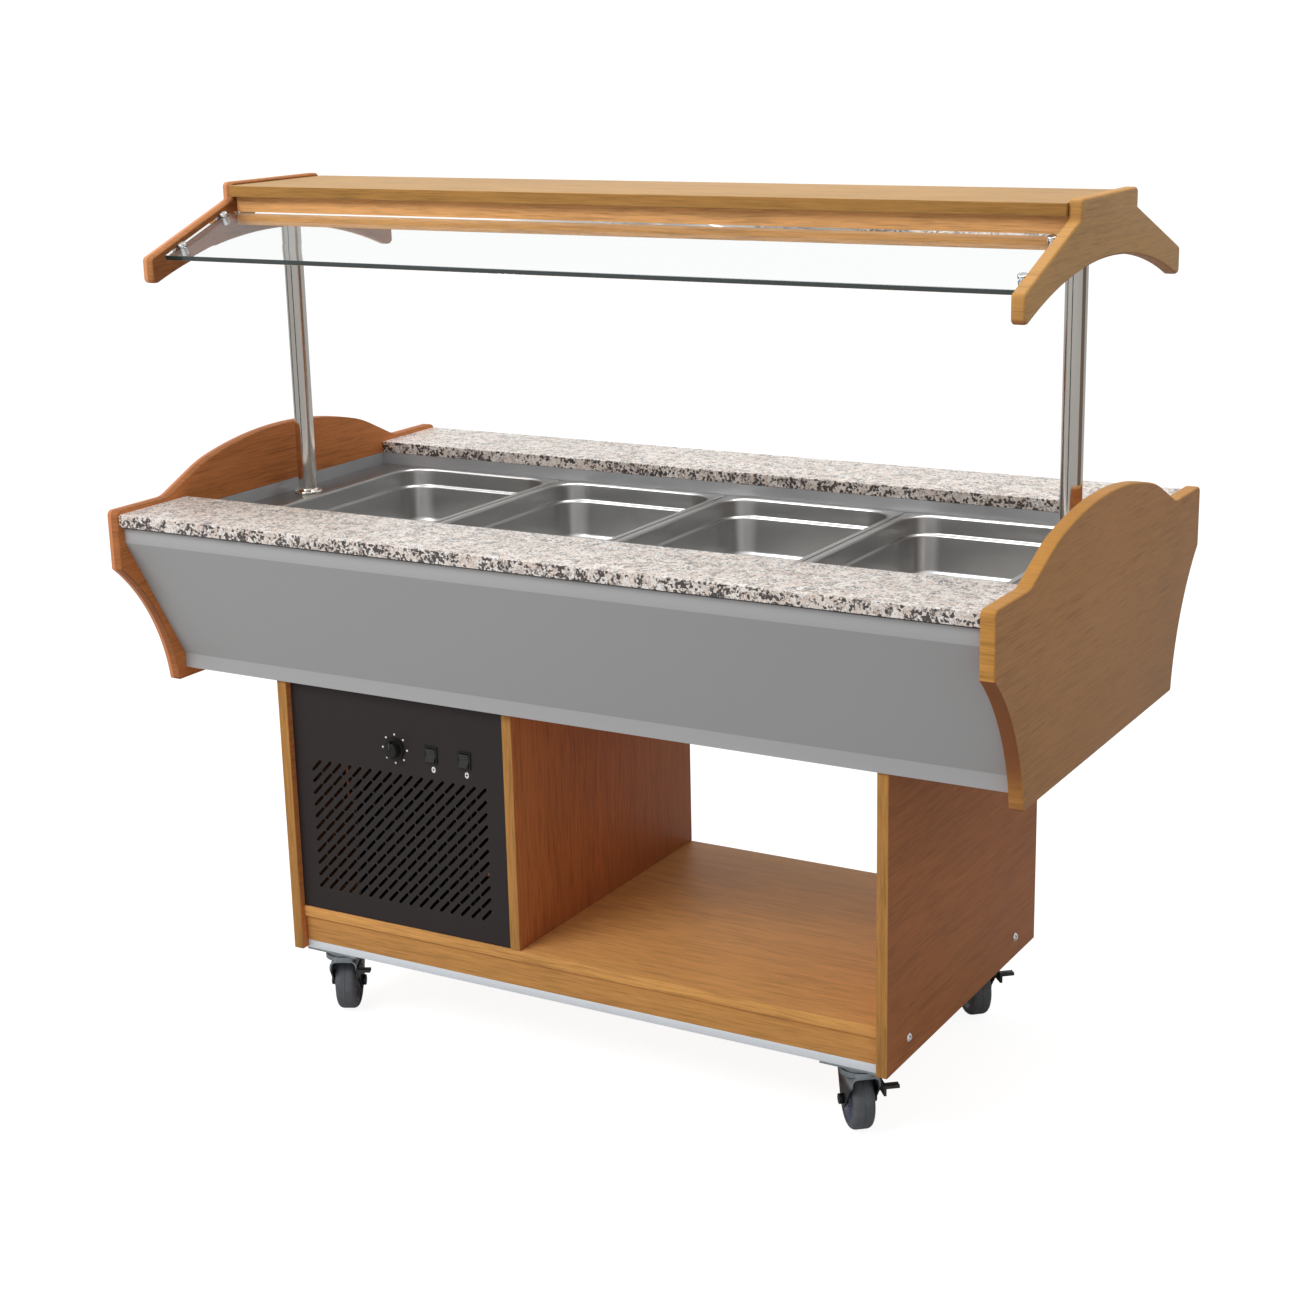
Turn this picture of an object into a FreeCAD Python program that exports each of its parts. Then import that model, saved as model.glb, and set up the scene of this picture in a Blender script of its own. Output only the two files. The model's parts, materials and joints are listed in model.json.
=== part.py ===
import FreeCAD, Part
import math
import os
import re
import Sketcher

# Mobile salad bar: a wooden cabinet on four braked swivel castors, a refrigerated well for four
# full-size food pans between granite ledges, and a wooden canopy with sneeze glass on two posts.
# Millimetres, +Z up, origin on the floor under the middle, the customer's front faces -Y.

os.makedirs("parts", exist_ok=True)
doc = FreeCAD.newDocument("salad_bar")
V = FreeCAD.Vector

SIZES = {
    # end cheeks of the upper body
    "cheek_gap": 1446, "cheek_board": 22, "cheek_depth": 862, "cheek_top": 873,
    "cheek_nose": 778, "cheek_foot": 568, "cheek_foot_depth": 634, "cheek_hollow_radius": 330,
    "hump_rise": 72, "hump_crest_radius": 800, "hump_crest_angle": 13.7,
    "hump_shoulder_radius": 260, "hump_slope": 24.5, "hump_valley_radius": 45, "board_round": 3,
    "nose_round": 9,
    # slanted steel fascias and the granite ledges above them
    "fascia_depth": 836, "fascia_top": 843, "fascia_band": 23, "fascia_foot_depth": 600,
    "fascia_foot": 586, "fascia_foot_band": 24, "fascia_sheet": 1.5, "fascia_flange": 14,
    "granite_top": 867, "granite_board": 20, "granite_depth": 856, "granite_opening": 534,
    "granite_round": 2, "seal_width": 8, "seal_inset": 2,
    # steel well and its four pans
    "deck_top": 826, "deck_sheet": 1.2, "well_ledge": 9, "well_depth": 140, "well_wall": 1.2,
    "pan_pitch": 327, "pan_width": 324, "pan_length": 529, "pan_depth": 100, "pan_flange": 11,
    "pan_sheet": 0.9, "pan_rim_corner": 16, "pan_corner": 52, "pan_shoulder_drop": 32,
    "pan_shoulder": 3.5, "pan_taper": 3, "pan_foot_round": 14, "pan_clearance": 0.3,
    "pan_row_shift": -8, "bar_width": 22, "bar_height": 12,
    "foam_wall": 38, "deck_board": 18, "coil_tube": 9.5, "coil_pitch": 62, "coil_margin": 60,
    "coil_bend": 24, "coil_clearance": 2, "line_x": -470, "line_foot": 320, "line_drop": 40,
    "line_loop": 62, "line_rise": 90, "line_gap": 30, "line_bend": 14, "liquid_bend": 10,
    "drain_x": -210, "drain_y": 21.5, "drain_outer": 34, "drain_bore": 28, "drain_drop": 60,
    # canopy
    "post_span": 1372, "post_diameter": 32, "post_wall": 1.5, "post_flange": 48,
    "post_flange_height": 5, "bracket_gap": 1424, "bracket_board": 20, "bracket_top": 1358,
    "bracket_top_depth": 231, "bracket_ear": 27, "bracket_tip_depth": 636,
    "bracket_tip_top": 1255.5, "bracket_tip_foot": 1216, "arch_radius": 868, "arch_rise": 55,
    "ear_round": 9, "tip_round": 8, "top_board": 18, "top_board_drop": 5,
    "top_board_depth": 242, "valance_depth": 210, "valance_board": 16, "valance_foot": 1285,
    "lamp_length": 1150, "lamp_tube": 16, "lamp_drop": 30, "lamp_box_height": 26,
    "lamp_box_depth": 60, "holder_side": 3, "holder_foot": 2,
    "glass_sheet": 8, "glass_drop": 9, "glass_low_depth": 576, "glass_high_depth": 272,
    "glass_end_gap": 2, "standoff_diameter": 14, "standoff_head": 4, "standoff_cap": 9,
    "standoff_stem": 8, "standoff_inset": 8.5, "standoff_low": 36, "standoff_pitch": 112,
    "standoff_play": 0.3, "standoff_round": 1.5, "standoff_foot": 3, "stem_sink": 1, "glass_chamfer": 0.6,
    # cabinet
    "cabinet_length": 1077, "cabinet_board": 18, "cabinet_depth": 590, "cabinet_foot": 121,
    "shelf_top": 195.5, "shelf_front": 286, "shelf_rear": 272, "divider_x": -102.6,
    "plinth_setback": 5, "plinth_foot": 133.5, "strip_foot": 120, "strip_wall": 2,
    "bearer_width": 96, "bearer_foot": 120, "cover_cap": 14, "cover_cap_height": 4.5,
    "cover_cap_z": 155, "cover_cap_front": 217, "cover_cap_rear": 207,
    # vented panels of the machine bay
    "panel_front": 283, "panel_rear": 268, "panel_sheet": 1.5, "panel_flange": 14,
    "slot_length": 26.3, "slot_width": 5.2, "slot_tilt": 46, "slot_step_x": 20.06,
    "slot_step_z": 20.2, "slot_margin": 35,
    "knob_x": -317.5, "knob_z": 496.5, "knob_diameter": 36, "knob_height": 15, "knob_shaft": 6,
    "knob_gap": 0.4, "knob_skirt": 3, "knob_grip_inset": 4, "knob_grip_taper": 2,
    "knob_round": 1.5, "pointer_width": 3, "pointer_drop": 1, "shaft_play": 0.05,
    "shaft_hole_play": 0.5, "shaft_root": 6,
    "cooling_switch_x": -248, "light_switch_x": -185, "switch_z": 496,
    "bezel_width": 24, "bezel_height": 28, "bezel_proud": 2, "rocker_width": 17,
    "rocker_height": 21, "rocker_proud": 4, "rocker_gap": 0.4, "switch_depth": 24,
    "case_step": 1.5, "rocker_swing": 1, "rocker_pin": 2.4, "rocker_pin_play": 0.05,
    "rocker_pin_depth": 4, "rocker_dip": 0.6, "rocker_edge": 1, "rocker_tail": 8,
    "rocker_tail_width": 6,
    "control_box_depth": 48, "control_box_width": 74, "control_box_height": 56,
    # refrigeration machine
    "condenser_width": 230, "condenser_height": 215, "condenser_core": 46,
    "condenser_gap": 22, "core_plate": 3, "core_tube": 8, "core_margin": 10, "fin_pitch": 11,
    "fin_sheet": 1, "fin_inset": 3, "fin_end": 6, "machine_x": -316,
    "shroud_depth": 30, "fan_diameter": 172,
    "fan_tip_gap": 3, "fan_hub": 40, "fan_blade": 2, "fan_end_gap": 6, "blade_pitch": 24,
    "blade_root": 4, "shroud_sheet": 2, "motor_bar": 3, "motor_bar_width": 28,
    "motor_shaft": 8, "motor_shaft_play": 0.05, "motor_shaft_gap": 4, "shaft_room": 16,
    "motor_diameter": 74, "motor_length": 48,
    "compressor_y": 75, "compressor_diameter": 150, "compressor_height": 176,
    "compressor_foot": 15, "compressor_plate": 4, "line_tube": 8,
    # castors
    "castor_x": 473, "castor_front": 243, "castor_rear": 212, "wheel_diameter": 95,
    "wheel_width": 34, "hub_diameter": 70, "wheel_bore": 12, "axle_diameter": 11.9,
    "castor_trail": 18, "fork_sheet": 3, "fork_gap": 3, "fork_round": 11, "crown_gap": 3.5,
    "fork_hem": 10, "fork_shoulder": 16, "axle_pad": 13, "axle_pad_rise": 4,
    "axle_pad_foot": 7, "axle_pad_drop": 12, "bolt_head": 18, "bolt_head_height": 5,
    "bolt_nut": 16, "bolt_nut_height": 6, "tyre_inset": 2, "tyre_bead": 4, "tyre_side": 1,
    "tread_drop": 7, "tread_inset": 8, "tyre_round": 9, "hub_boss": 7, "hub_dish": 8,
    "hub_draft": 2, "hub_rim": 5, "race_diameter": 66, "race_gap": 0.3, "race_lip": 2,
    "race_sink": 0.5, "plate_length": 100, "plate_width": 74, "plate_sheet": 4,
    "pin_diameter": 12, "pin_clearance": 0.1, "pin_end_gap": 0.5, "pedal_pivot": 8,
    "pedal_pivot_play": 0.05, "pedal_pivot_end": 2, "pedal_pivot_back": 6, "pedal_drop": 18,
    "pedal_length": 44, "pedal_height": 16, "pedal_heel": 4, "pedal_reach": 24,
    "pedal_tab": 12, "pedal_tab_sheet": 5, "pedal_sheet": 4, "pedal_play": 0.3,
}
FRONT_LEFT_TURN = 27
FRONT_RIGHT_TURN = 40
REAR_LEFT_TURN = 35
REAR_RIGHT_TURN = 41

sheet = doc.addObject("Spreadsheet::Sheet", "Sizes")
for row, (name, value) in enumerate(SIZES.items(), start=1):
    cell = "A%d" % row
    sheet.set(cell, str(value))
    sheet.setAlias(cell, name)
doc.recompute()


def linked(text):
    """Turn plain size names into references to the sheet's cells."""
    def reference(match):
        word = match.group()
        return "Sizes." + word if word in SIZES else word
    return re.sub(r"[a-z_]+", reference, str(text))


def number(text):
    """Work out an expression of size names."""
    return float(sheet.evalExpression(linked(text)))


def bind(item, prop, text):
    item.setExpression(prop, linked(text))


def move(item, x="0", y="0", z="0"):
    bind(item, ".Placement.Base.x", x)
    bind(item, ".Placement.Base.y", y)
    bind(item, ".Placement.Base.z", z)
    return item


def block(label, xs, ys, zs):
    """A board or block between two faces on each axis."""
    item = doc.addObject("Part::Box", label)
    for prop, (low, high) in zip(("Length", "Width", "Height"), (xs, ys, zs)):
        bind(item, prop, "(%s) - (%s)" % (high, low))
    return move(item, xs[0], ys[0], zs[0])


TURNS = {"x": FreeCAD.Rotation(V(0, 1, 0), 90), "y": FreeCAD.Rotation(V(1, 0, 0), -90),
         "z": FreeCAD.Rotation()}


def rod(label, axis, radius, start, length):
    """A round bar along an axis from its start point."""
    item = doc.addObject("Part::Cylinder", label)
    item.Placement = FreeCAD.Placement(V(0, 0, 0), TURNS[axis])
    bind(item, "Radius", radius)
    bind(item, "Height", length)
    return move(item, *start)


def cut(label, base, tool):
    item = doc.addObject("Part::Cut", label)
    item.Base = base
    item.Tool = tool
    return item


def common(label, base, tool):
    item = doc.addObject("Part::Common", label)
    item.Base = base
    item.Tool = tool
    return item


def joined(label, pieces):
    item = doc.addObject("Part::MultiFuse", label)
    item.Shapes = pieces
    return item


def group(label, pieces):
    """Identical or matched loose pieces that share one node."""
    item = doc.addObject("Part::Compound", label)
    item.Links = pieces
    return item


def solid(label, shape):
    item = doc.addObject("Part::Feature", label)
    item.Shape = shape
    return item


def arc_between(start, end, radius, side):
    """The short arc from start to end; side 1 puts its centre left of the way, -1 right."""
    chord = end - start
    half = chord.Length / 2
    left = V(-chord.y, chord.x, 0).normalize()
    centre = (start + end) * 0.5 + left * side * math.sqrt(max(radius ** 2 - half ** 2, 0))
    first, last = (start, end) if side > 0 else (end, start)
    angles = [math.atan2(p.y - centre.y, p.x - centre.x) for p in (first, last)]
    circle = Part.Circle(centre, V(0, 0, 1), radius)
    return Part.ArcOfCircle(circle, angles[0], angles[1])


def sketch_of(body, role, points, arcs=None):
    """A closed outline whose corners are pinned to the sheet; arcs maps an edge number to
    (radius, side)."""
    arcs = arcs or {}
    plane = [item for item in body.Origin.OriginFeatures if item.Role == role][0]
    sketch = body.newObject("Sketcher::SketchObject", body.Name + "_outline")
    sketch.AttachmentSupport = [(plane, "")]
    sketch.MapMode = "FlatFace"
    corners = [V(number(u), number(v), 0) for u, v in points]
    ends = []
    geometry = []
    for index, start in enumerate(corners):
        end = corners[(index + 1) % len(corners)]
        if index in arcs:
            radius, side = arcs[index]
            geometry.append(arc_between(start, end, number(radius), side))
            ends.append((1, 2) if side > 0 else (2, 1))
        else:
            geometry.append(Part.LineSegment(start, end))
            ends.append((1, 2))
    sketch.addGeometry(geometry)
    for index in range(len(corners)):
        after = (index + 1) % len(corners)
        sketch.addConstraint(
            Sketcher.Constraint("Coincident", index, ends[index][1], after, ends[after][0]))
    for index, (u, v) in enumerate(points):
        for kind, text in (("DistanceX", u), ("DistanceY", v)):
            at = sketch.addConstraint(
                Sketcher.Constraint(kind, -1, 1, index, ends[index][0], number(text)))
            bind(sketch, "Constraints[%d]" % at, text)
        if index in arcs:
            radius = arcs[index][0]
            at = sketch.addConstraint(Sketcher.Constraint("Radius", index, number(radius)))
            bind(sketch, "Constraints[%d]" % at, radius)
    return sketch


def padded(label, role, points, thickness, arcs=None):
    """A body padded evenly to both sides of its origin plane."""
    body = doc.addObject("PartDesign::Body", label)
    sketch = sketch_of(body, role, points, arcs)
    pad = body.newObject("PartDesign::Pad", label + "_pad")
    pad.Profile = sketch
    pad.Midplane = True
    bind(pad, "Length", thickness)
    doc.recompute()
    return body


def turned(label, role, points, axis, arcs=None):
    """A body turned about the sketch's own axis."""
    body = doc.addObject("PartDesign::Body", label)
    sketch = sketch_of(body, role, points, arcs)
    turn = body.newObject("PartDesign::Revolution", label + "_turn")
    turn.Profile = sketch
    turn.ReferenceAxis = (sketch, [axis])
    turn.Angle = 360
    doc.recompute()
    return body


def ease(body, radius, wanted):
    """Round the edges of a body's last feature that the test picks."""
    base = body.Tip
    names = ["Edge%d" % (index + 1) for index, edge in enumerate(base.Shape.Edges) if wanted(edge)]
    fillet = body.newObject("PartDesign::Fillet", body.Name + "_ease")
    fillet.Base = (base, names)
    bind(fillet, "Radius", radius)
    body.Tip = fillet
    doc.recompute()
    return body


def along_x(edge):
    first, last = edge.Vertexes[0].Point, edge.Vertexes[-1].Point
    return abs(last.x - first.x) > abs(last.y - first.y) + abs(last.z - first.z)


# ---- end cheeks -------------------------------------------------------------------------

def hump_points(mirror):
    """Half of the cheek's raised top: flat end, valley, slope, shoulder and crest, as the
    corners between its arcs, from the flat inwards for mirror -1 and outwards for 1."""
    crest_y = "hump_crest_radius * sin(hump_crest_angle)"
    crest_z = "cheek_top + hump_rise - hump_crest_radius * (1 - cos(hump_crest_angle))"
    shoulder_y = crest_y + " + hump_shoulder_radius * (sin(hump_slope) - sin(hump_crest_angle))"
    shoulder_z = crest_z + " - hump_shoulder_radius * (cos(hump_crest_angle) - cos(hump_slope))"
    valley_z = "cheek_top + hump_valley_radius * (1 - cos(hump_slope))"
    valley_y = "%s + ((%s) - (%s)) / tan(hump_slope)" % (shoulder_y, shoulder_z, valley_z)
    flat_y = valley_y + " + hump_valley_radius * sin(hump_slope)"
    points = [(flat_y, "cheek_top"), (valley_y, valley_z), (shoulder_y, shoulder_z),
              (crest_y, crest_z)]
    if mirror > 0:
        points.reverse()
    sign = "1" if mirror > 0 else "-1"
    return [("%s * (%s)" % (sign, y), z) for y, z in points]


def cheek(label, side):
    top_front = hump_points(-1)
    top_rear = hump_points(1)
    points = [("-cheek_foot_depth / 2", "cheek_foot"), ("-cheek_depth / 2", "cheek_nose"),
              ("-cheek_depth / 2", "cheek_top")] + top_front + top_rear + [
              ("cheek_depth / 2", "cheek_top"), ("cheek_depth / 2", "cheek_nose"),
              ("cheek_foot_depth / 2", "cheek_foot")]
    arcs = {0: ("cheek_hollow_radius", 1), 3: ("hump_valley_radius", 1),
            5: ("hump_shoulder_radius", -1), 6: ("hump_crest_radius", -1),
            7: ("hump_shoulder_radius", -1), 9: ("hump_valley_radius", 1),
            12: ("cheek_hollow_radius", 1)}
    body = padded(label, "YZ_Plane", points, "cheek_board", arcs)
    nose_z, top_z, end_y = number("cheek_nose"), number("cheek_top"), number("cheek_depth") / 2 - 1
    body = ease(body, "nose_round", lambda edge: along_x(edge) and abs(edge.CenterOfMass.y) > end_y
                and abs(edge.CenterOfMass.z - top_z) < 1)
    body = ease(body, "board_round", lambda edge: along_x(edge) and abs(edge.CenterOfMass.y) > end_y
                and abs(edge.CenterOfMass.z - nose_z) < 1)
    return move(body, "%s * (cheek_gap + cheek_board) / 2" % side)


left_cheek = cheek("left_cheek", "-1")
right_cheek = cheek("right_cheek", "1")


# ---- fascias, granite ledges and their seals ---------------------------------------------

def fascia(label, side):
    """One folded sheet: top flange, upright band, slanted face and foot band."""
    top, foot = "fascia_depth / 2", "fascia_foot_depth / 2"
    outer = [(top, "fascia_top"), (top, "fascia_top - fascia_band"),
             (foot, "fascia_foot + fascia_foot_band"), (foot, "fascia_foot")]
    inner = [(foot + " - fascia_sheet", "fascia_foot"),
             (foot + " - fascia_sheet", "fascia_foot + fascia_foot_band"),
             (top + " - fascia_sheet", "fascia_top - fascia_band"),
             (top + " - fascia_sheet", "fascia_top - fascia_sheet"),
             (top + " - fascia_flange", "fascia_top - fascia_sheet"),
             (top + " - fascia_flange", "fascia_top")]
    points = [("%s * (%s)" % (side, y), z) for y, z in outer + inner]
    return padded(label, "YZ_Plane", points, "cheek_gap")


front_fascia = fascia("front_fascia", "-1")
rear_fascia = fascia("rear_fascia", "1")


def ledge(label, side):
    width = "(granite_depth - granite_opening) / 2"
    points = [("-(%s) / 2" % width, "0"), ("(%s) / 2" % width, "0"),
              ("(%s) / 2" % width, "granite_board"), ("-(%s) / 2" % width, "granite_board")]
    body = padded(label, "YZ_Plane", points, "cheek_gap")
    top_z = number("granite_board")
    ease(body, "granite_round", lambda edge: along_x(edge) and edge.CenterOfMass.z > top_z - 1)
    return move(body, "0", "%s * (granite_depth + granite_opening) / 4" % side,
                "granite_top - granite_board")


front_granite = ledge("front_granite", "-1")
rear_granite = ledge("rear_granite", "1")


def seal(label, near, far):
    return block(label, ("-cheek_gap / 2", "cheek_gap / 2"), (near, far),
                 ("fascia_top", "granite_top - granite_board"))


front_seal = seal("front_seal", "-fascia_depth / 2 + seal_inset",
                  "-fascia_depth / 2 + seal_inset + seal_width")
rear_seal = seal("rear_seal", "fascia_depth / 2 - seal_inset - seal_width",
                 "fascia_depth / 2 - seal_inset")
granite_seals = group("granite_seals", [front_seal, rear_seal])

# ---- refrigerated well ---------------------------------------------------------------------

WELL_X = "(2 * pan_pitch - well_ledge)"
WELL_Y = "(pan_length / 2 - well_ledge)"
WELL_LEFT = "pan_row_shift - " + WELL_X
WELL_RIGHT = "pan_row_shift + " + WELL_X
WELL_FLOOR = "(deck_top - deck_sheet - well_depth)"


def well():
    """The well's welded sheets: deck strips round the pan opening, upstands against the granite
    and cheeks, and the walls and floor of the deep basin below."""
    reach_x = "cheek_gap / 2"
    reach_y = "(granite_opening / 2 + deck_sheet)"
    wide = (WELL_LEFT, WELL_RIGHT)
    outside_y = "(%s + well_wall)" % WELL_Y
    deck = ("deck_top - deck_sheet", "deck_top")
    rise = ("deck_top", "granite_top - granite_board")
    drop = (WELL_FLOOR, "deck_top - deck_sheet")
    full_y = ("-" + reach_y, reach_y)
    wall_y = ("-" + outside_y, outside_y)
    between = ("-%s + deck_sheet" % reach_x, reach_x + " - deck_sheet")
    sheets = [
        block("left_deck", ("-" + reach_x, WELL_LEFT), full_y, deck),
        block("right_deck", (WELL_RIGHT, reach_x), full_y, deck),
        block("front_deck", wide, ("-" + reach_y, "-" + WELL_Y), deck),
        block("rear_deck", wide, (WELL_Y, reach_y), deck),
        block("left_upstand", ("-" + reach_x, between[0]), full_y, rise),
        block("right_upstand", (between[1], reach_x), full_y, rise),
        block("front_upstand", between, ("-" + reach_y, "-granite_opening / 2"), rise),
        block("rear_upstand", between, ("granite_opening / 2", reach_y), rise),
        block("left_wall", (WELL_LEFT + " - well_wall", WELL_LEFT), wall_y, drop),
        block("right_wall", (WELL_RIGHT, WELL_RIGHT + " + well_wall"), wall_y, drop),
        block("front_wall", wide, ("-" + outside_y, "-" + WELL_Y), drop),
        block("rear_wall", wide, (WELL_Y, outside_y), drop),
    ]
    floor = block("floor_blank", (WELL_LEFT + " - well_wall", WELL_RIGHT + " + well_wall"), wall_y,
                  (WELL_FLOOR + " - well_wall", WELL_FLOOR))
    drain_hole = rod("well_drain_hole", "z", "drain_bore / 2", ("drain_x", "drain_y", "0"), "granite_top")
    return group("well_liner", sheets + [cut("well_floor", floor, drain_hole)])


well_liner = well()


def pan_bar(index):
    """A support bar across the well under two neighbouring pan rims."""
    centre = "pan_row_shift + %d * pan_pitch" % index
    return block("pan_bar_%d" % (index + 2), (centre + " - bar_width / 2", centre + " + bar_width / 2"),
                 ("-" + WELL_Y, WELL_Y), ("deck_top - bar_height", "deck_top"))


pan_bars = group("pan_bars", [pan_bar(index) for index in (-1, 0, 1)])


def rounded(half_x, half_y, radius):
    """Corners and arcs of a rectangle with round corners, centred on the origin."""
    points = []
    for sx, sy, first in ((1, -1, "y"), (1, 1, "x"), (-1, 1, "y"), (-1, -1, "x")):
        near_x = "%d * (%s - %s)" % (sx, half_x, radius)
        near_y = "%d * (%s - %s)" % (sy, half_y, radius)
        full_x = "%d * (%s)" % (sx, half_x)
        full_y = "%d * (%s)" % (sy, half_y)
        pair = [(near_x, full_y), (full_x, near_y)]
        points += pair if first == "y" else list(reversed(pair))
    return points, {0: (radius, 1), 2: (radius, 1), 4: (radius, 1), 6: (radius, 1)}


def pan(index):
    """A full-size food pan: flat rim, upper wall, stacking shoulder and tapered lower wall."""
    label = "pan_%d" % (index + 1)
    body = doc.addObject("PartDesign::Body", label)

    def ring(inset, level, radius):
        """Rounded rectangle inset from the pan's rim, at a level below it."""
        points, arcs = rounded("(pan_width / 2 - (%s))" % inset, "(pan_length / 2 - (%s))" % inset,
                               radius)
        sketch = sketch_of(body, "XY_Plane", points, arcs)
        bind(sketch, ".AttachmentOffset.Base.z", "-(%s)" % level)
        return sketch

    def stage(name, kind, profile, depth):
        feature = body.newObject("PartDesign::" + kind, label + name)
        feature.Profile = profile
        bind(feature, "Length", depth)
        feature.Reversed = kind == "Pad"

    def tapered(name, kind, top, foot):
        feature = body.newObject("PartDesign::" + kind, label + name)
        feature.Profile = top
        feature.Sections = [foot]
        feature.Ruled = True
        doc.recompute()

    taper = "(pan_depth - pan_shoulder_drop) * tan(pan_taper)"
    lower = "pan_flange + pan_shoulder"
    level, foot = "pan_shoulder_drop - pan_sheet", "pan_depth - pan_sheet"
    corner = "(pan_corner - pan_shoulder)"
    inner_corner = "(pan_corner - pan_shoulder - pan_sheet)"
    stage("_rim", "Pad", ring("0", "0", "pan_rim_corner"), "pan_sheet")
    stage("_upper", "Pad", ring("pan_flange", "0", "pan_corner"), "pan_shoulder_drop")
    tapered("_lower", "AdditiveLoft", ring(lower, level, corner),
            ring("%s + %s" % (lower, taper), foot, corner))
    stage("_hollow", "Pocket", ring("pan_flange + pan_sheet", "0", "(pan_corner - pan_sheet)"), level)
    tapered("_well", "SubtractiveLoft", ring(lower + " + pan_sheet", level, inner_corner),
            ring("%s + pan_sheet + %s" % (lower, taper), foot + " - pan_sheet", inner_corner))
    for floor, radius in (("pan_depth - 2 * pan_sheet", "(pan_foot_round - pan_sheet)"),
                          ("pan_depth - pan_sheet", "pan_foot_round")):
        height = -number(floor)
        ease(body, radius,
             lambda edge: abs(edge.BoundBox.ZMax - height) < 0.1 and edge.BoundBox.ZLength < 0.1)
    return move(body, "pan_row_shift + (%d - 1.5) * pan_pitch" % index, "0",
                "deck_top + pan_clearance + pan_sheet")


pans = [pan(index) for index in range(4)]

# ---- foam, floor board, evaporator and drain -------------------------------------------------

COIL_ROOM = "(coil_tube + coil_clearance)"
FOAM_TOP = "deck_top - deck_sheet"
FLOOR_TOP = "(fascia_foot + deck_board)"
DRAIN_FOOT = "fascia_foot - drain_drop"


def foam():
    """Insulation round the basin, down to the floor board, with room for the coil below it."""
    outer = block("foam_blank", (WELL_LEFT + " - foam_wall", WELL_RIGHT + " + foam_wall"),
                  ("-%s - foam_wall" % WELL_Y, WELL_Y + " + foam_wall"), (FLOOR_TOP, FOAM_TOP))
    basin = block("foam_basin", (WELL_LEFT + " - well_wall", WELL_RIGHT + " + well_wall"),
                  ("-%s - well_wall" % WELL_Y, WELL_Y + " + well_wall"),
                  ("%s - well_wall - %s" % (WELL_FLOOR, COIL_ROOM), "granite_top"))
    passage = rod("foam_drain_hole", "z", "drain_outer / 2", ("drain_x", "drain_y", "0"), "granite_top")
    line_hole = rod("foam_line_hole", "z", "(coil_tube + coil_clearance / 2) / 2",
                    (COIL_X, COIL_Y, "0"), "granite_top")
    half = "(coil_tube + coil_clearance) / 2"
    bend_room = block("foam_bend_room",
                      ("%s - %s" % (COIL_X, half), COIL_X + " + coil_bend + coil_clearance"),
                      ("%s - %s" % (COIL_Y, half), "%s + %s" % (COIL_Y, half)),
                      (WELL_FLOOR + " - well_wall - coil_tube - coil_bend", WELL_FLOOR))
    return cut("insulation_foam", outer,
               joined("foam_room", [basin, passage, line_hole, bend_room]))


COIL_X = "line_x"
COIL_Y = "(coil_margin - %s)" % WELL_Y
COIL_Z = WELL_FLOOR + " - well_wall - coil_tube / 2"


def pipe(label, corners, radius, bend):
    """A tube along straight runs joined by tangent arcs."""
    points = [V(*corner) for corner in corners]
    edges = []
    start = points[0]
    for before, corner, after in zip(points, points[1:], points[2:]):
        back = (before - corner).normalize()
        ahead = (after - corner).normalize()
        turn = math.pi - back.getAngle(ahead)
        reach = bend * math.tan(turn / 2)
        first = corner + back * reach
        last = corner + ahead * reach
        middle_way = (back + ahead).normalize()
        centre = corner + middle_way * (bend / math.cos(turn / 2))
        edges.append(Part.LineSegment(start, first).toShape())
        edges.append(Part.Arc(first, centre - middle_way * bend, last).toShape())
        start = last
    edges.append(Part.LineSegment(start, points[-1]).toShape())
    path = Part.Wire(edges)
    mouth = Part.Wire(Part.Circle(points[0], points[1] - points[0], radius).toShape())
    return solid(label, path.makePipeShell([mouth], True, True))


def coil():
    """The evaporator: a flat serpentine under the basin, its foot led down to the machine."""
    x, y, z = number(COIL_X), number(COIL_Y), number(COIL_Z)
    right = number("%s - coil_margin" % WELL_RIGHT)
    step = number("coil_pitch")
    rows = int(2 * abs(y) / step) + 1
    foot = number("shelf_top + line_foot")
    corners = [(x, y, foot), (x, y, z)]
    for row_number in range(rows):
        row_y = y + row_number * step
        near, far = (x, right) if row_number % 2 == 0 else (right, x)
        if row_number:
            corners.append((near, row_y, z))
        corners.append((far, row_y, z))
    return pipe("evaporator_tube", corners, number("coil_tube") / 2,
                number("coil_bend"))


insulation_foam = foam()
evaporator_tube = coil()
floor_blank = block("floor_blank", ("-cheek_gap / 2", "cheek_gap / 2"),
                    ("-fascia_foot_depth / 2 + fascia_sheet", "fascia_foot_depth / 2 - fascia_sheet"),
                    ("fascia_foot", FLOOR_TOP))
floor_holes = joined("floor_holes", [
    rod("floor_drain_hole", "z", "drain_outer / 2", ("drain_x", "drain_y", "0"), "cheek_top"),
    rod("floor_line_hole", "z", "(coil_tube + coil_clearance / 2) / 2", (COIL_X, COIL_Y, "0"),
        "cheek_top")])
floor_board = cut("floor_board", floor_blank, floor_holes)

drain_tube = rod("drain_tube", "z", "drain_outer / 2", ("drain_x", "drain_y", DRAIN_FOOT),
                 "%s - well_wall - (%s)" % (WELL_FLOOR, DRAIN_FOOT))
drain_inside = rod("drain_inside", "z", "drain_bore / 2", ("drain_x", "drain_y", "0"), "granite_top")
drain_pipe = cut("drain_pipe", drain_tube, drain_inside)


# ---- canopy ----------------------------------------------------------------------------------

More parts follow.
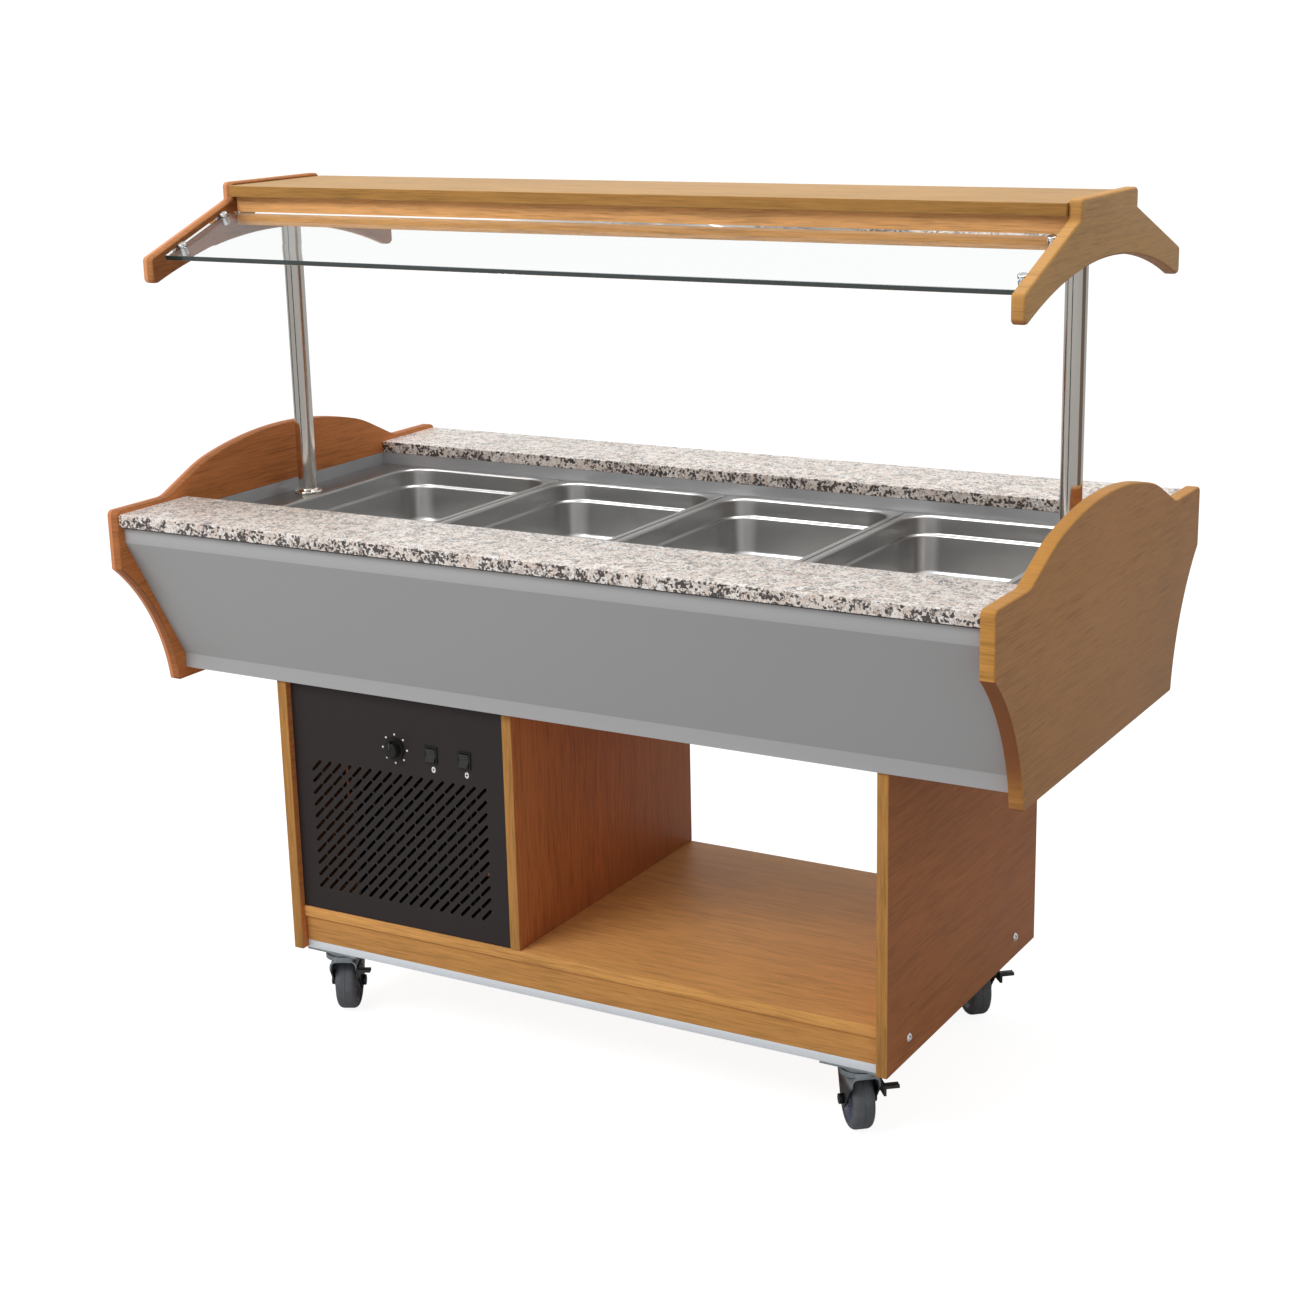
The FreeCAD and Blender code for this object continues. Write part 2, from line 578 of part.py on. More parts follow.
def post(label, side):
    """Steel tube with a welded foot ring on the deck and a head ring under the top board."""
    inner, outer, ring = "post_diameter / 2 - post_wall", "post_diameter / 2", "post_flange / 2"
    foot, head = "deck_top", "bracket_top - top_board_drop - top_board"
    points = [(inner, foot), (ring, foot), (ring, foot + " + post_flange_height"),
              (outer, foot + " + post_flange_height"), (outer, head + " - post_flange_height"),
              (ring, head + " - post_flange_height"), (ring, head), (inner, head)]
    body = turned(label, "XZ_Plane", points, "V_Axis")
    return move(body, "%s * post_span / 2" % side)


left_post = post("left_post", "-1")
right_post = post("right_post", "1")


def bracket(label, side):
    """Wing of the canopy: an ear at the top board, straight slopes and an arched underside."""
    ear_y, tip_y = "bracket_top_depth / 2", "bracket_tip_depth / 2"
    arch_y = "sqrt(2 * arch_radius * arch_rise - arch_rise ^ 2)"
    half = [(arch_y, "bracket_tip_foot"), (tip_y, "bracket_tip_foot"),
            (tip_y, "bracket_tip_top"), (ear_y, "bracket_top - bracket_ear"),
            (ear_y, "bracket_top")]
    points = half + [("-(%s)" % y, z) for y, z in reversed(half)]
    body = padded(label, "YZ_Plane", points, "bracket_board", {9: ("arch_radius", -1)})
    corner_y = number("bracket_tip_depth") / 2 - 1
    top_z = number("bracket_top") - 1

    def corners(edge):
        centre = edge.CenterOfMass
        return along_x(edge) and (abs(centre.y) > corner_y or centre.z > top_z)

    ease(body, "tip_round", corners)
    return move(body, "%s * (bracket_gap + bracket_board) / 2" % side)


left_bracket = bracket("left_bracket", "-1")
right_bracket = bracket("right_bracket", "1")

TOP_BOARD_TOP = "bracket_top - top_board_drop"
TOP_BOARD_FOOT = "(bracket_top - top_board_drop - top_board)"


def canopy_board():
    points = [("-top_board_depth / 2", "0"), ("top_board_depth / 2", "0"),
              ("top_board_depth / 2", "top_board"), ("-top_board_depth / 2", "top_board")]
    body = padded("top_board", "YZ_Plane", points, "bracket_gap")
    ease(body, "board_round / 2", along_x)
    return move(body, "0", "0", TOP_BOARD_FOOT)


top_board = canopy_board()


def valance(label, near, far):
    return block(label, ("-bracket_gap / 2", "bracket_gap / 2"), (near, far),
                 ("valance_foot", TOP_BOARD_FOOT))


front_valance = valance("front_valance", "-valance_depth / 2", "-valance_depth / 2 + valance_board")
rear_valance = valance("rear_valance", "valance_depth / 2 - valance_board", "valance_depth / 2")
valances = group("valances", [front_valance, rear_valance])

LAMP_Z = "(%s - lamp_box_height - lamp_tube)" % TOP_BOARD_FOOT


def lamp_holder(label, start, end):
    return block(label, (start, end), ("-lamp_tube / 2 - holder_side", "lamp_tube / 2 + holder_side"),
                 (LAMP_Z + " - lamp_tube / 2 - holder_foot", TOP_BOARD_FOOT + " - lamp_box_height"))


lamp_fitting = joined("lamp_fitting", [
    block("lamp_box", ("-lamp_length / 2 - lamp_drop", "lamp_length / 2 + lamp_drop"),
          ("-lamp_box_depth / 2", "lamp_box_depth / 2"),
          (TOP_BOARD_FOOT + " - lamp_box_height", TOP_BOARD_FOOT)),
    lamp_holder("lamp_holder_left", "-lamp_length / 2 - lamp_drop", "-lamp_length / 2"),
    lamp_holder("lamp_holder_right", "lamp_length / 2", "lamp_length / 2 + lamp_drop")])
lamp = rod("lamp", "x", "lamp_tube / 2", ("-lamp_length / 2", "0", LAMP_Z), "lamp_length")


def glass_frame(side):
    """Placement of a pane: local u runs up the slope, w stands square out of the glass."""
    rise = number("bracket_top - bracket_ear - bracket_tip_top")
    run = number("(bracket_tip_depth - bracket_top_depth) / 2")
    slope = math.atan2(rise, run)
    low_y = number("glass_low_depth") / 2
    surface = number("bracket_tip_top") + (run + number("bracket_top_depth") / 2 - low_y) * rise / run
    low_z = surface - number("glass_drop") / math.cos(slope)
    length = (low_y - number("glass_high_depth") / 2) / math.cos(slope)
    axis = FreeCAD.Rotation(V(1, 0, 0), math.degrees(slope))
    mirror = FreeCAD.Rotation(V(0, 0, 1), 0 if side < 0 else 180)
    place = FreeCAD.Placement(V(0, 0, 0), mirror) * FreeCAD.Placement(V(0, -low_y, low_z), axis)
    return place, length


def standoff_points():
    half = number("bracket_gap") / 2
    inset = number("standoff_inset")
    low = number("standoff_low")
    high = low + number("standoff_pitch")
    return [(sign * (half - inset), along, sign) for sign in (-1, 1) for along in (low, high)]


def pane(label, side):
    place, length = glass_frame(side)
    half = number("bracket_gap / 2 - glass_end_gap")
    thickness = number("glass_sheet")
    glass = Part.makeBox(2 * half, length, thickness, V(-half, 0, -thickness))
    hole_radius = number("standoff_stem / 2 + standoff_play")
    for x, along, _ in standoff_points():
        glass = glass.cut(Part.makeCylinder(hole_radius, 3 * thickness, V(x, along, -2 * thickness)))
    glass = glass.makeChamfer(number("glass_chamfer"), [edge for edge in glass.Edges if along_x(edge)])
    item = solid(label, glass)
    item.Placement = place
    return item


def standoffs():
    """Turned steel buttons that clamp the panes, each pinned to its bracket."""
    pieces = []
    head, cap = number("standoff_head"), number("standoff_cap")
    radius = number("standoff_diameter") / 2
    stem = number("standoff_stem") / 2
    thickness = number("glass_sheet")
    round_over, foot, sink = number("standoff_round"), number("standoff_foot"), number("stem_sink")
    for side in (-1, 1):
        place, _ = glass_frame(side)
        for x, along, sign in standoff_points():
            button = Part.makeCylinder(radius, head, V(x, along, 0))
            button = button.makeFillet(round_over, [button.Edges[0]])
            low = Part.makeCylinder(radius, cap + foot, V(x, along, -thickness - cap - foot))
            bolt = Part.makeCylinder(stem, thickness + 2 * sink, V(x, along, -thickness - sink))
            pin = Part.makeCylinder(stem, number("standoff_inset"),
                                    V(x, along, -thickness - cap / 2 - sink), V(sign, 0, 0))
            piece = button.fuse([low, bolt, pin]).removeSplitter()
            piece.Placement = place
            pieces.append(piece)
    return solid("glass_standoffs", Part.makeCompound(pieces))


front_glass = pane("front_glass", -1)
rear_glass = pane("rear_glass", 1)
glass_standoffs = standoffs()


# ---- cabinet ---------------------------------------------------------------------------------

INNER_X = "(cabinet_length / 2 - cabinet_board)"
SHELF_FOOT = "(shelf_top - cabinet_board)"


def cabinet_side(label, side):
    """Side board with eased upright edges."""
    points = [("-cabinet_depth / 2", "cabinet_foot"), ("cabinet_depth / 2", "cabinet_foot"),
              ("cabinet_depth / 2", "fascia_foot"), ("-cabinet_depth / 2", "fascia_foot")]
    body = padded(label, "YZ_Plane", points, "cabinet_board")

    def upright(edge):
        ends = [vertex.Point for vertex in edge.Vertexes]
        return abs(ends[0].z - ends[1].z) > 10

    ease(body, "board_round / 2", upright)
    return move(body, "%s * (cabinet_length - cabinet_board) / 2" % side)


left_side = cabinet_side("left_side", "-1")
right_side = cabinet_side("right_side", "1")
shelf = block("shelf", ("-" + INNER_X, INNER_X), ("-shelf_front", "shelf_rear"),
              (SHELF_FOOT, "shelf_top"))
divider = block("divider", ("divider_x - cabinet_board / 2", "divider_x + cabinet_board / 2"),
                ("-shelf_front", "shelf_rear"), ("shelf_top", "fascia_foot"))

FRONT_RAIL = ("-shelf_front + plinth_setback", "-shelf_front + plinth_setback + cabinet_board")
REAR_RAIL = ("shelf_rear - plinth_setback - cabinet_board", "shelf_rear - plinth_setback")


def plinth_rail(label, ys):
    return block(label, ("-" + INNER_X, INNER_X), ys, ("plinth_foot", SHELF_FOOT))


def plinth_strip(label, ys):
    """Square aluminium section under a plinth rail."""
    zs = ("strip_foot", "plinth_foot")
    tube = block(label + "_tube", ("-" + INNER_X, INNER_X), ys, zs)
    inside = block(label + "_inside", ("-" + INNER_X, INNER_X),
                   (ys[0] + " + strip_wall", ys[1] + " - strip_wall"),
                   (zs[0] + " + strip_wall", zs[1] + " - strip_wall"))
    return cut(label, tube, inside)


plinth_strips = group("plinth_strips", [plinth_strip("front_strip", FRONT_RAIL),
                                        plinth_strip("rear_strip", REAR_RAIL)])


def bearer(label, left, right):
    return block(label, (left, right), (FRONT_RAIL[1], REAR_RAIL[0]), ("bearer_foot", SHELF_FOOT))


base_frame = group("base_frame", [
    plinth_rail("front_rail", FRONT_RAIL), plinth_rail("rear_rail", REAR_RAIL),
    bearer("left_bearer", "-" + INNER_X, "bearer_width - " + INNER_X),
    bearer("right_bearer", INNER_X + " - bearer_width", INNER_X)])


def make_cover_caps():
    """Domed caps over the screws that hold the sides to the castor bearers."""
    pieces = []
    radius = number("cover_cap") / 2
    height = number("cover_cap_height")
    bulge = (radius ** 2 + height ** 2) / (2 * height)
    face = number("cabinet_length") / 2
    for sign in (-1, 1):
        for y in (-number("cover_cap_front"), number("cover_cap_rear")):
            ball = Part.makeSphere(bulge, V(sign * (face + height - bulge), y, number("cover_cap_z")))
            room = Part.makeCylinder(radius, height + 1, V(sign * face, y, number("cover_cap_z")),
                                     V(sign, 0, 0))
            pieces.append(ball.common(room))
    return solid("cover_caps", Part.makeCompound(pieces))


cover_caps = make_cover_caps()


# ---- vented panels and controls ----------------------------------------------------------------

SLOT_COLUMNS = 17
FRONT_SLOT_ROWS = 11
REAR_SLOT_ROWS = 14
PANEL_LEFT = "-" + INNER_X
PANEL_RIGHT = "(divider_x - cabinet_board / 2)"


def slot_wire(x, z):
    """One slanted slot with round ends, in the XZ plane."""
    half = number("slot_length - slot_width") / 2
    radius = number("slot_width") / 2
    tilt = math.radians(number("slot_tilt"))
    way = V(math.cos(tilt), 0, math.sin(tilt))
    side = V(-way.z, 0, way.x)
    centre = V(x, 0, z)
    low, high = centre - way * half, centre + way * half
    return Part.Wire([
        Part.LineSegment(low + side * radius, high + side * radius).toShape(),
        Part.Arc(high + side * radius, high + way * radius, high - side * radius).toShape(),
        Part.LineSegment(high - side * radius, low - side * radius).toShape(),
        Part.Arc(low - side * radius, low - way * radius, low + side * radius).toShape()])


def box_wire(x0, x1, z0, z1):
    return Part.makePolygon([V(x0, 0, z0), V(x1, 0, z0), V(x1, 0, z1), V(x0, 0, z1), V(x0, 0, z0)])


def slot_field(columns, rows):
    """Slots in even columns and rows, spread about the middle of the panel."""
    left = number("(%s + %s) / 2" % (PANEL_LEFT, PANEL_RIGHT))
    left -= (columns - 1) / 2 * number("slot_step_x")
    low = number("shelf_top + slot_margin") + number("slot_length") / 2
    return [slot_wire(left + column * number("slot_step_x"), low + line * number("slot_step_z"))
            for column in range(columns) for line in range(rows)]


def vented_panel(label, face, side, holes):
    """Folded sheet panel with return flanges; side -1 faces the front."""
    x0, x1 = number(PANEL_LEFT), number(PANEL_RIGHT)
    z0, z1 = number("shelf_top"), number("fascia_foot")
    gauge, flange = number("panel_sheet"), number("panel_flange")
    plate = Part.Face([box_wire(x0, x1, z0, z1)] + holes, "Part::FaceMakerBullseye")
    plate = plate.extrude(V(0, -side * gauge, 0))
    rim = Part.makeBox(x1 - x0, flange, z1 - z0, V(x0, 0, z0))
    room = Part.makeBox(x1 - x0 - 2 * gauge, flange, z1 - z0 - 2 * gauge, V(x0 + gauge, 0, z0 + gauge))
    rim = rim.cut(room)
    if side > 0:
        rim.translate(V(0, -flange, 0))
    item = solid(label, plate.fuse(rim).removeSplitter())
    item.Placement = FreeCAD.Placement(V(0, side * number(face), 0), FreeCAD.Rotation())
    return item


def control_holes():
    """Openings for the thermostat shaft and the two rocker switches."""
    shaft = Part.Circle(V(number("knob_x"), 0, number("knob_z")), V(0, 1, 0),
                        number("knob_shaft / 2 + shaft_hole_play"))
    holes = [Part.Wire(shaft.toShape())]
    for x in ("cooling_switch_x", "light_switch_x"):
        half_x = number("bezel_width / 2 - case_step")
        half_z = number("bezel_height / 2 - case_step")
        z = number("switch_z")
        holes.append(box_wire(number(x) - half_x, number(x) + half_x, z - half_z, z + half_z))
    return holes


front_grille = vented_panel("front_grille", "panel_front", -1,
                            slot_field(SLOT_COLUMNS, FRONT_SLOT_ROWS) + control_holes())
rear_grille = vented_panel("rear_grille", "panel_rear", 1,
                           slot_field(SLOT_COLUMNS, REAR_SLOT_ROWS))

PANEL_BACK = "(-panel_front + panel_sheet)"
control_body = block("control_body", ("knob_x - control_box_width / 2", "knob_x + control_box_width / 2"),
                     (PANEL_BACK, PANEL_BACK + " + control_box_depth"),
                     ("knob_z - control_box_height / 2", "knob_z + control_box_height / 2"))
control_shaft = rod("control_shaft", "y", "knob_shaft / 2",
                    ("knob_x", "-panel_front - knob_height / 2", "knob_z"),
                    "knob_height / 2 + shaft_root")
control_box = joined("control_box", [control_body, control_shaft])


def make_thermostat_knob():
    """Skirted round knob with a raised pointer rib, bored for its shaft."""
    radius = number("knob_diameter") / 2
    height = number("knob_height")
    grip_radius = radius - number("knob_grip_inset")
    top_radius = grip_radius - number("knob_grip_taper")
    width, drop = number("pointer_width"), number("pointer_drop")
    skirt = Part.makeCylinder(radius, number("knob_skirt"), V(0, 0, 0), V(0, -1, 0))
    grip = Part.makeCone(grip_radius, top_radius, height, V(0, 0, 0), V(0, -1, 0))
    rims = [edge for edge in grip.Edges if edge.Closed and edge.CenterOfMass.y < -height + 1]
    grip = grip.makeFillet(number("knob_round"), rims)
    pointer = Part.makeBox(width, height - 2 * drop, radius - width, V(-width / 2, drop - height, 0))
    bore = Part.makeCylinder(number("knob_shaft / 2 + shaft_play"), height / 2 + number("standoff_play"),
                             V(0, 0, 0), V(0, -1, 0))
    item = solid("thermostat_knob", skirt.fuse([grip, pointer]).cut(bore).removeSplitter())
    item.Placement = FreeCAD.Placement(
        V(number("knob_x"), -number("panel_front + knob_gap"), number("knob_z")), FreeCAD.Rotation())
    return item


thermostat_knob = make_thermostat_knob()


def bezel(label, x):
    """Switch body snapped into the panel, open in front for its rocker."""
    zs = ("switch_z - bezel_height / 2", "switch_z + bezel_height / 2")
    frame = block(label + "_frame", (x + " - bezel_width / 2", x + " + bezel_width / 2"),
                  ("-panel_front - bezel_proud", "-panel_front"), zs)
    case = block(label + "_case", (x + " - bezel_width / 2 + case_step",
                                   x + " + bezel_width / 2 - case_step"),
                 ("-panel_front", "-panel_front + switch_depth"),
                 (zs[0] + " + case_step", zs[1] + " - case_step"))
    room = block(label + "_room", (x + " - rocker_width / 2 - rocker_gap",
                                   x + " + rocker_width / 2 + rocker_gap"),
                 ("-panel_front - bezel_proud", "-panel_front + switch_depth / 2"),
                 ("switch_z - rocker_height / 2 - rocker_gap - rocker_swing",
                  "switch_z + rocker_height / 2 + rocker_gap + rocker_swing"))
    axle = rod(label + "_axle", "x", "rocker_pin / 2",
               (x + " - bezel_width / 2 + case_step", "-panel_front + rocker_pin_depth", "switch_z"),
               "bezel_width - 2 * case_step")
    return joined(label, [cut(label + "_shell", joined(label + "_blank", [frame, case]), room), axle])


switch_bezels = group("switch_bezels", [bezel("cooling_bezel", "cooling_switch_x"),
                                        bezel("light_bezel", "light_switch_x")])


def rocker(label, x):
    """Rocker with a shallow V face, its foot out at rest, rocking on the bezel's cross pin."""
    half, proud = "rocker_height / 2", "rocker_proud"
    points = [("-bezel_proud - %s / 4" % proud, half), ("-bezel_proud + rocker_dip", "0"),
              ("-bezel_proud - %s" % proud, "-(%s)" % half),
              ("rocker_edge", "-(%s) + rocker_edge" % half), ("rocker_tail", "-rocker_tail_width / 2"),
              ("rocker_tail", "rocker_tail_width / 2"), ("rocker_edge", half + " - rocker_edge")]
    body = padded(label + "_blank", "YZ_Plane", points, "rocker_width")
    hole = rod(label + "_hole", "x", "rocker_pin / 2 + rocker_pin_play",
               ("-rocker_width", "rocker_pin_depth", "0"), "2 * rocker_width")
    item = cut(label, body, hole)
    return move(item, x, "-panel_front", "switch_z")


cooling_switch = rocker("cooling_switch", "cooling_switch_x")
light_switch = rocker("light_switch", "light_switch_x")


# ---- refrigeration machine ---------------------------------------------------------------------

CORE_FRONT = "(-panel_front + panel_flange + condenser_gap)"
CORE_REAR = "(%s + condenser_core)" % CORE_FRONT
FAN_Z = "(shelf_top + condenser_height / 2)"
BACK_PLATE = "(%s + shroud_depth)" % CORE_REAR


FAN_BLADES = 5
CORE_TUBES = 3


def make_condenser():
    """Finned core between two end plates, standing on the shelf board."""
    x0, width = number("machine_x - condenser_width / 2"), number("condenser_width")
    front, depth = number(CORE_FRONT), number("condenser_core")
    low, high = number("shelf_top"), number("condenser_height")
    plate, inset, end = number("core_plate"), number("fin_inset"), number("fin_end")
    ends = [Part.makeBox(plate, depth, high, V(x, front, low)) for x in (x0, x0 + width - plate)]
    tubes = []
    for row in range(CORE_TUBES):
        height = low + high * (row + 0.5) / CORE_TUBES
        tubes.append(Part.makeCylinder(number("core_tube") / 2, width - 2 * plate,
                                       V(x0 + plate, front + depth / 2, height), V(1, 0, 0)))
    pitch = number("fin_pitch")
    count = int((width - 2 * number("core_margin")) / pitch)
    start = x0 + (width - (count - 1) * pitch) / 2
    fins = [Part.makeBox(number("fin_sheet"), depth - 2 * inset, high - 2 * end,
                         V(start + index * pitch, front + inset, low + end)) for index in range(count)]
    return solid("condenser", ends[0].fuse(ends[1:] + tubes + fins).removeSplitter())


def make_fan_shroud():
    """Box behind the core with a round mouth and a cross bar that carries the motor."""
    x0, x1 = "machine_x - condenser_width / 2", "machine_x + condenser_width / 2"
    zs = ("shelf_top", "shelf_top + condenser_height")
    through = "2 * shroud_depth"
    blank = block("shroud_blank", (x0, x1), (CORE_REAR, BACK_PLATE), zs)
    room = block("shroud_room", (x0 + " + shroud_sheet", x1 + " - shroud_sheet"),
                 (CORE_REAR + " - shroud_sheet", BACK_PLATE + " - shroud_sheet"),
                 (zs[0] + " + shroud_sheet", zs[1] + " - shroud_sheet"))
    mouth = rod("shroud_mouth", "y", "fan_diameter / 2", ("machine_x", CORE_REAR, FAN_Z), through)
    bar = block("shroud_bar", (x0, x1), (BACK_PLATE, BACK_PLATE + " + motor_bar"),
                (FAN_Z + " - motor_bar_width / 2", FAN_Z + " + motor_bar_width / 2"))
    shaft_room = rod("shroud_shaft_room", "y", "shaft_room / 2", ("machine_x", CORE_REAR, FAN_Z),
                     through)
    shell = cut("shroud_shell", blank, joined("shroud_openings", [room, mouth]))
    return cut("fan_shroud", joined("shroud_with_bar", [shell, bar]), shaft_room)


def make_fan_motor():
    start = BACK_PLATE + " + motor_bar"
    case = rod("motor_case", "y", "motor_diameter / 2", ("machine_x", start, FAN_Z), "motor_length")
    shaft = rod("motor_shaft", "y", "motor_shaft / 2",
                ("machine_x", CORE_REAR + " + motor_shaft_gap", FAN_Z),
                "%s - (%s + motor_shaft_gap)" % (start, CORE_REAR))
    return joined("fan_motor", [case, shaft])


def make_fan_rotor():
    """Pitched blades on a hub, running in the shroud's mouth."""
    hub_radius, root = number("fan_hub") / 2, number("blade_root")
    tip = number("fan_diameter") / 2 - number("fan_tip_gap")
    depth = number("shroud_depth - 2 * fan_end_gap")
    chord, gauge = 1.5 * hub_radius, number("fan_blade")
    hub = Part.makeCylinder(hub_radius, depth, V(0, 0, 0), V(0, 1, 0))
    pieces = []
    for index in range(FAN_BLADES):
        blade = Part.makeBox(chord, gauge, tip - hub_radius + root,
                             V(-chord / 2, -gauge / 2, hub_radius - root))
        blade.rotate(V(0, 0, 0), V(0, 0, 1), number("blade_pitch"))
        blade.translate(V(0, depth / 2, 0))
        blade.rotate(V(0, 0, 0), V(0, 1, 0), index * 360 / FAN_BLADES)
        pieces.append(blade)
    rim = Part.makeCylinder(tip, depth, V(0, 0, 0), V(0, 1, 0))
    bore = Part.makeCylinder(number("motor_shaft / 2 + motor_shaft_play"), depth, V(0, 0, 0), V(0, 1, 0))
    rotor = hub.fuse(pieces).common(rim).cut(bore)
    item = solid("fan_rotor", rotor.removeSplitter())
    item.Placement = FreeCAD.Placement(
        V(number("machine_x"), number(CORE_REAR + " + fan_end_gap"), number(FAN_Z)),
        FreeCAD.Rotation())
    return item


def make_compressor():
    """Domed hermetic shell on a plate with four rubber feet."""
    radius, height = number("compressor_diameter") / 2, number("compressor_height")
    low = number("compressor_foot")
    gauge = number("compressor_plate")
    shell = Part.makeCylinder(radius, height - low - gauge, V(0, 0, low + gauge))
    shell = shell.makeFillet(radius * 0.5, [edge for edge in shell.Edges if edge.Closed
                                            and edge.CenterOfMass.z > height - 1])
    plate = Part.makeBox(2 * radius + 20, 1.6 * radius, gauge, V(-radius - 10, -0.8 * radius, low))
    terminal = Part.makeBox(44, 30, 50, V(-22, -radius - 14, low + height / 3))
    feet = [Part.makeCylinder(11, low, V(x, y, 0)) for x in (-radius, radius)
            for y in (-0.6 * radius, 0.6 * radius)]
    body = shell.fuse([plate, terminal] + feet).removeSplitter()
    item = solid("compressor", body)
    item.Placement = FreeCAD.Placement(
        V(number("machine_x"), number("compressor_y"), number("shelf_top")), FreeCAD.Rotation())
    return item


def make_refrigerant_lines():
    """Discharge line from the compressor to the core, and the core's line to the evaporator."""
    x, y = number("machine_x"), number("compressor_y")
    radius = number("compressor_diameter") / 2
    tube = number("line_tube") / 2
    side = number("machine_x + condenser_width / 2")
    left = number("machine_x - condenser_width / 2")
    core_y = number(CORE_FRONT) + number("condenser_core") / 2
    drop, middle = number("line_drop"), number("shelf_top + line_rise")
    high = number("shelf_top + condenser_height") - drop
    loop_x = x + radius + number("line_loop")
    discharge = pipe("discharge_line", [(x + radius, y, middle), (loop_x, y, middle),
                                        (loop_x, core_y, middle), (side, core_y, middle)],
                     tube, number("line_bend"))
    coil_x, coil_y = number(COIL_X), number(COIL_Y)
    foot = number("shelf_top + line_foot")
    out_x = left - number("line_gap")
    liquid = pipe("liquid_line", [(coil_x, coil_y, foot), (coil_x, coil_y, foot - drop),
                                  (out_x, coil_y, foot - drop), (out_x, core_y, foot - drop),
                                  (out_x, core_y, high), (left, core_y, high)],
                  tube, number("liquid_bend"))
    return group("refrigerant_lines", [evaporator_tube, discharge, liquid])


condenser = make_condenser()
fan_shroud = make_fan_shroud()
fan_motor = make_fan_motor()
fan_rotor = make_fan_rotor()
compressor = make_compressor()
refrigerant_lines = make_refrigerant_lines()


# ---- castors -----------------------------------------------------------------------------------

WHEEL_R = "wheel_diameter / 2"
CROWN_FOOT = "(wheel_diameter + crown_gap)"
CROWN_TOP = "(wheel_diameter + crown_gap + fork_sheet)"
PLATE_FOOT = "(bearer_foot - plate_sheet)"
FORK_INSIDE = "(wheel_width + 2 * fork_gap)"
FORK_OUTSIDE = "(wheel_width + 2 * fork_gap + 2 * fork_sheet)"


def fork_section(label, width, top, radius, length):
    """Upright arch section with round shoulders, run along the castor's rolling direction."""
    half = "%s / 2" % width
    points = [("-" + half, "fork_hem"), (half, "fork_hem"), (half, "%s - %s" % (top, radius)),
              ("%s - %s" % (half, radius), top), ("-(%s - %s)" % (half, radius), top),
              ("-" + half, "%s - %s" % (top, radius))]
    return padded(label, "XZ_Plane", points, length, {2: (radius, 1), 4: (radius, 1)})


def castor_fork(corner):
    """Pressed fork: arch section trimmed to its legs' side profile, with the lower race."""
    outside = fork_section(corner + "_fork_outside", FORK_OUTSIDE, CROWN_TOP, "fork_round",
                           "2 * plate_length")
    inside = fork_section(corner + "_fork_inside", FORK_INSIDE, CROWN_FOOT,
                          "(fork_round - fork_sheet)", "3 * plate_length")
    trail = "castor_trail"
    front = "-(race_diameter / 2 - race_lip)"
    rear = "(race_diameter / 2 + %s - 2 * race_lip)" % trail
    points = [(front, CROWN_TOP), (front, CROWN_TOP + " - fork_shoulder"),
              (trail + " - axle_pad", WHEEL_R + " - axle_pad_rise"),
              (trail + " - axle_pad_foot", WHEEL_R + " - axle_pad_drop"),
              (trail + " + axle_pad_foot", WHEEL_R + " - axle_pad_drop"),
              (trail + " + axle_pad", WHEEL_R + " - axle_pad_rise"),
              (rear, CROWN_TOP + " - fork_shoulder"), (rear, CROWN_TOP)]
    side = padded(corner + "_fork_side", "YZ_Plane", points, "2 * plate_length")
    legs = common(corner + "_fork_legs", cut(corner + "_fork_arch", outside, inside), side)
    race = rod(corner + "_race", "z", "race_diameter / 2", ("0", "0", CROWN_TOP + " - race_sink"),
               "(%s - %s) / 2 - race_gap / 2 + race_sink" % (PLATE_FOOT, CROWN_TOP))
    bore = rod(corner + "_fork_bore", "z", "pin_diameter / 2 + pin_clearance",
               ("0", "0", WHEEL_R), "wheel_diameter")
    axle_bore = rod(corner + "_axle_bore", "x", "axle_diameter / 2",
                    ("-wheel_width", trail, WHEEL_R), "2 * wheel_width")
    sheet_part = cut(corner + "_fork_sheet", joined(corner + "_fork_raced", [legs, race]),
                     joined(corner + "_fork_bores", [bore, axle_bore]))
    bolt = joined(corner + "_axle_bolt", [
        rod(corner + "_axle", "x", "axle_diameter / 2", ("-%s / 2" % FORK_OUTSIDE, trail, WHEEL_R),
            FORK_OUTSIDE),
        rod(corner + "_bolt_head", "x", "bolt_head / 2", ("%s / 2" % FORK_OUTSIDE, trail, WHEEL_R),
            "bolt_head_height"),
        rod(corner + "_bolt_nut", "x", "bolt_nut / 2",
            ("-%s / 2 - bolt_nut_height" % FORK_OUTSIDE, trail, WHEEL_R), "bolt_nut_height")])
    pivot = rod(corner + "_pedal_pin", "x", "pedal_pivot / 2",
                ("%s / 2" % FORK_OUTSIDE, "-pedal_pivot_back", CROWN_TOP + " - pedal_drop"),
                "pedal_sheet + pedal_pivot_end")
    return group(corner + "_fork", [sheet_part, bolt, pivot])


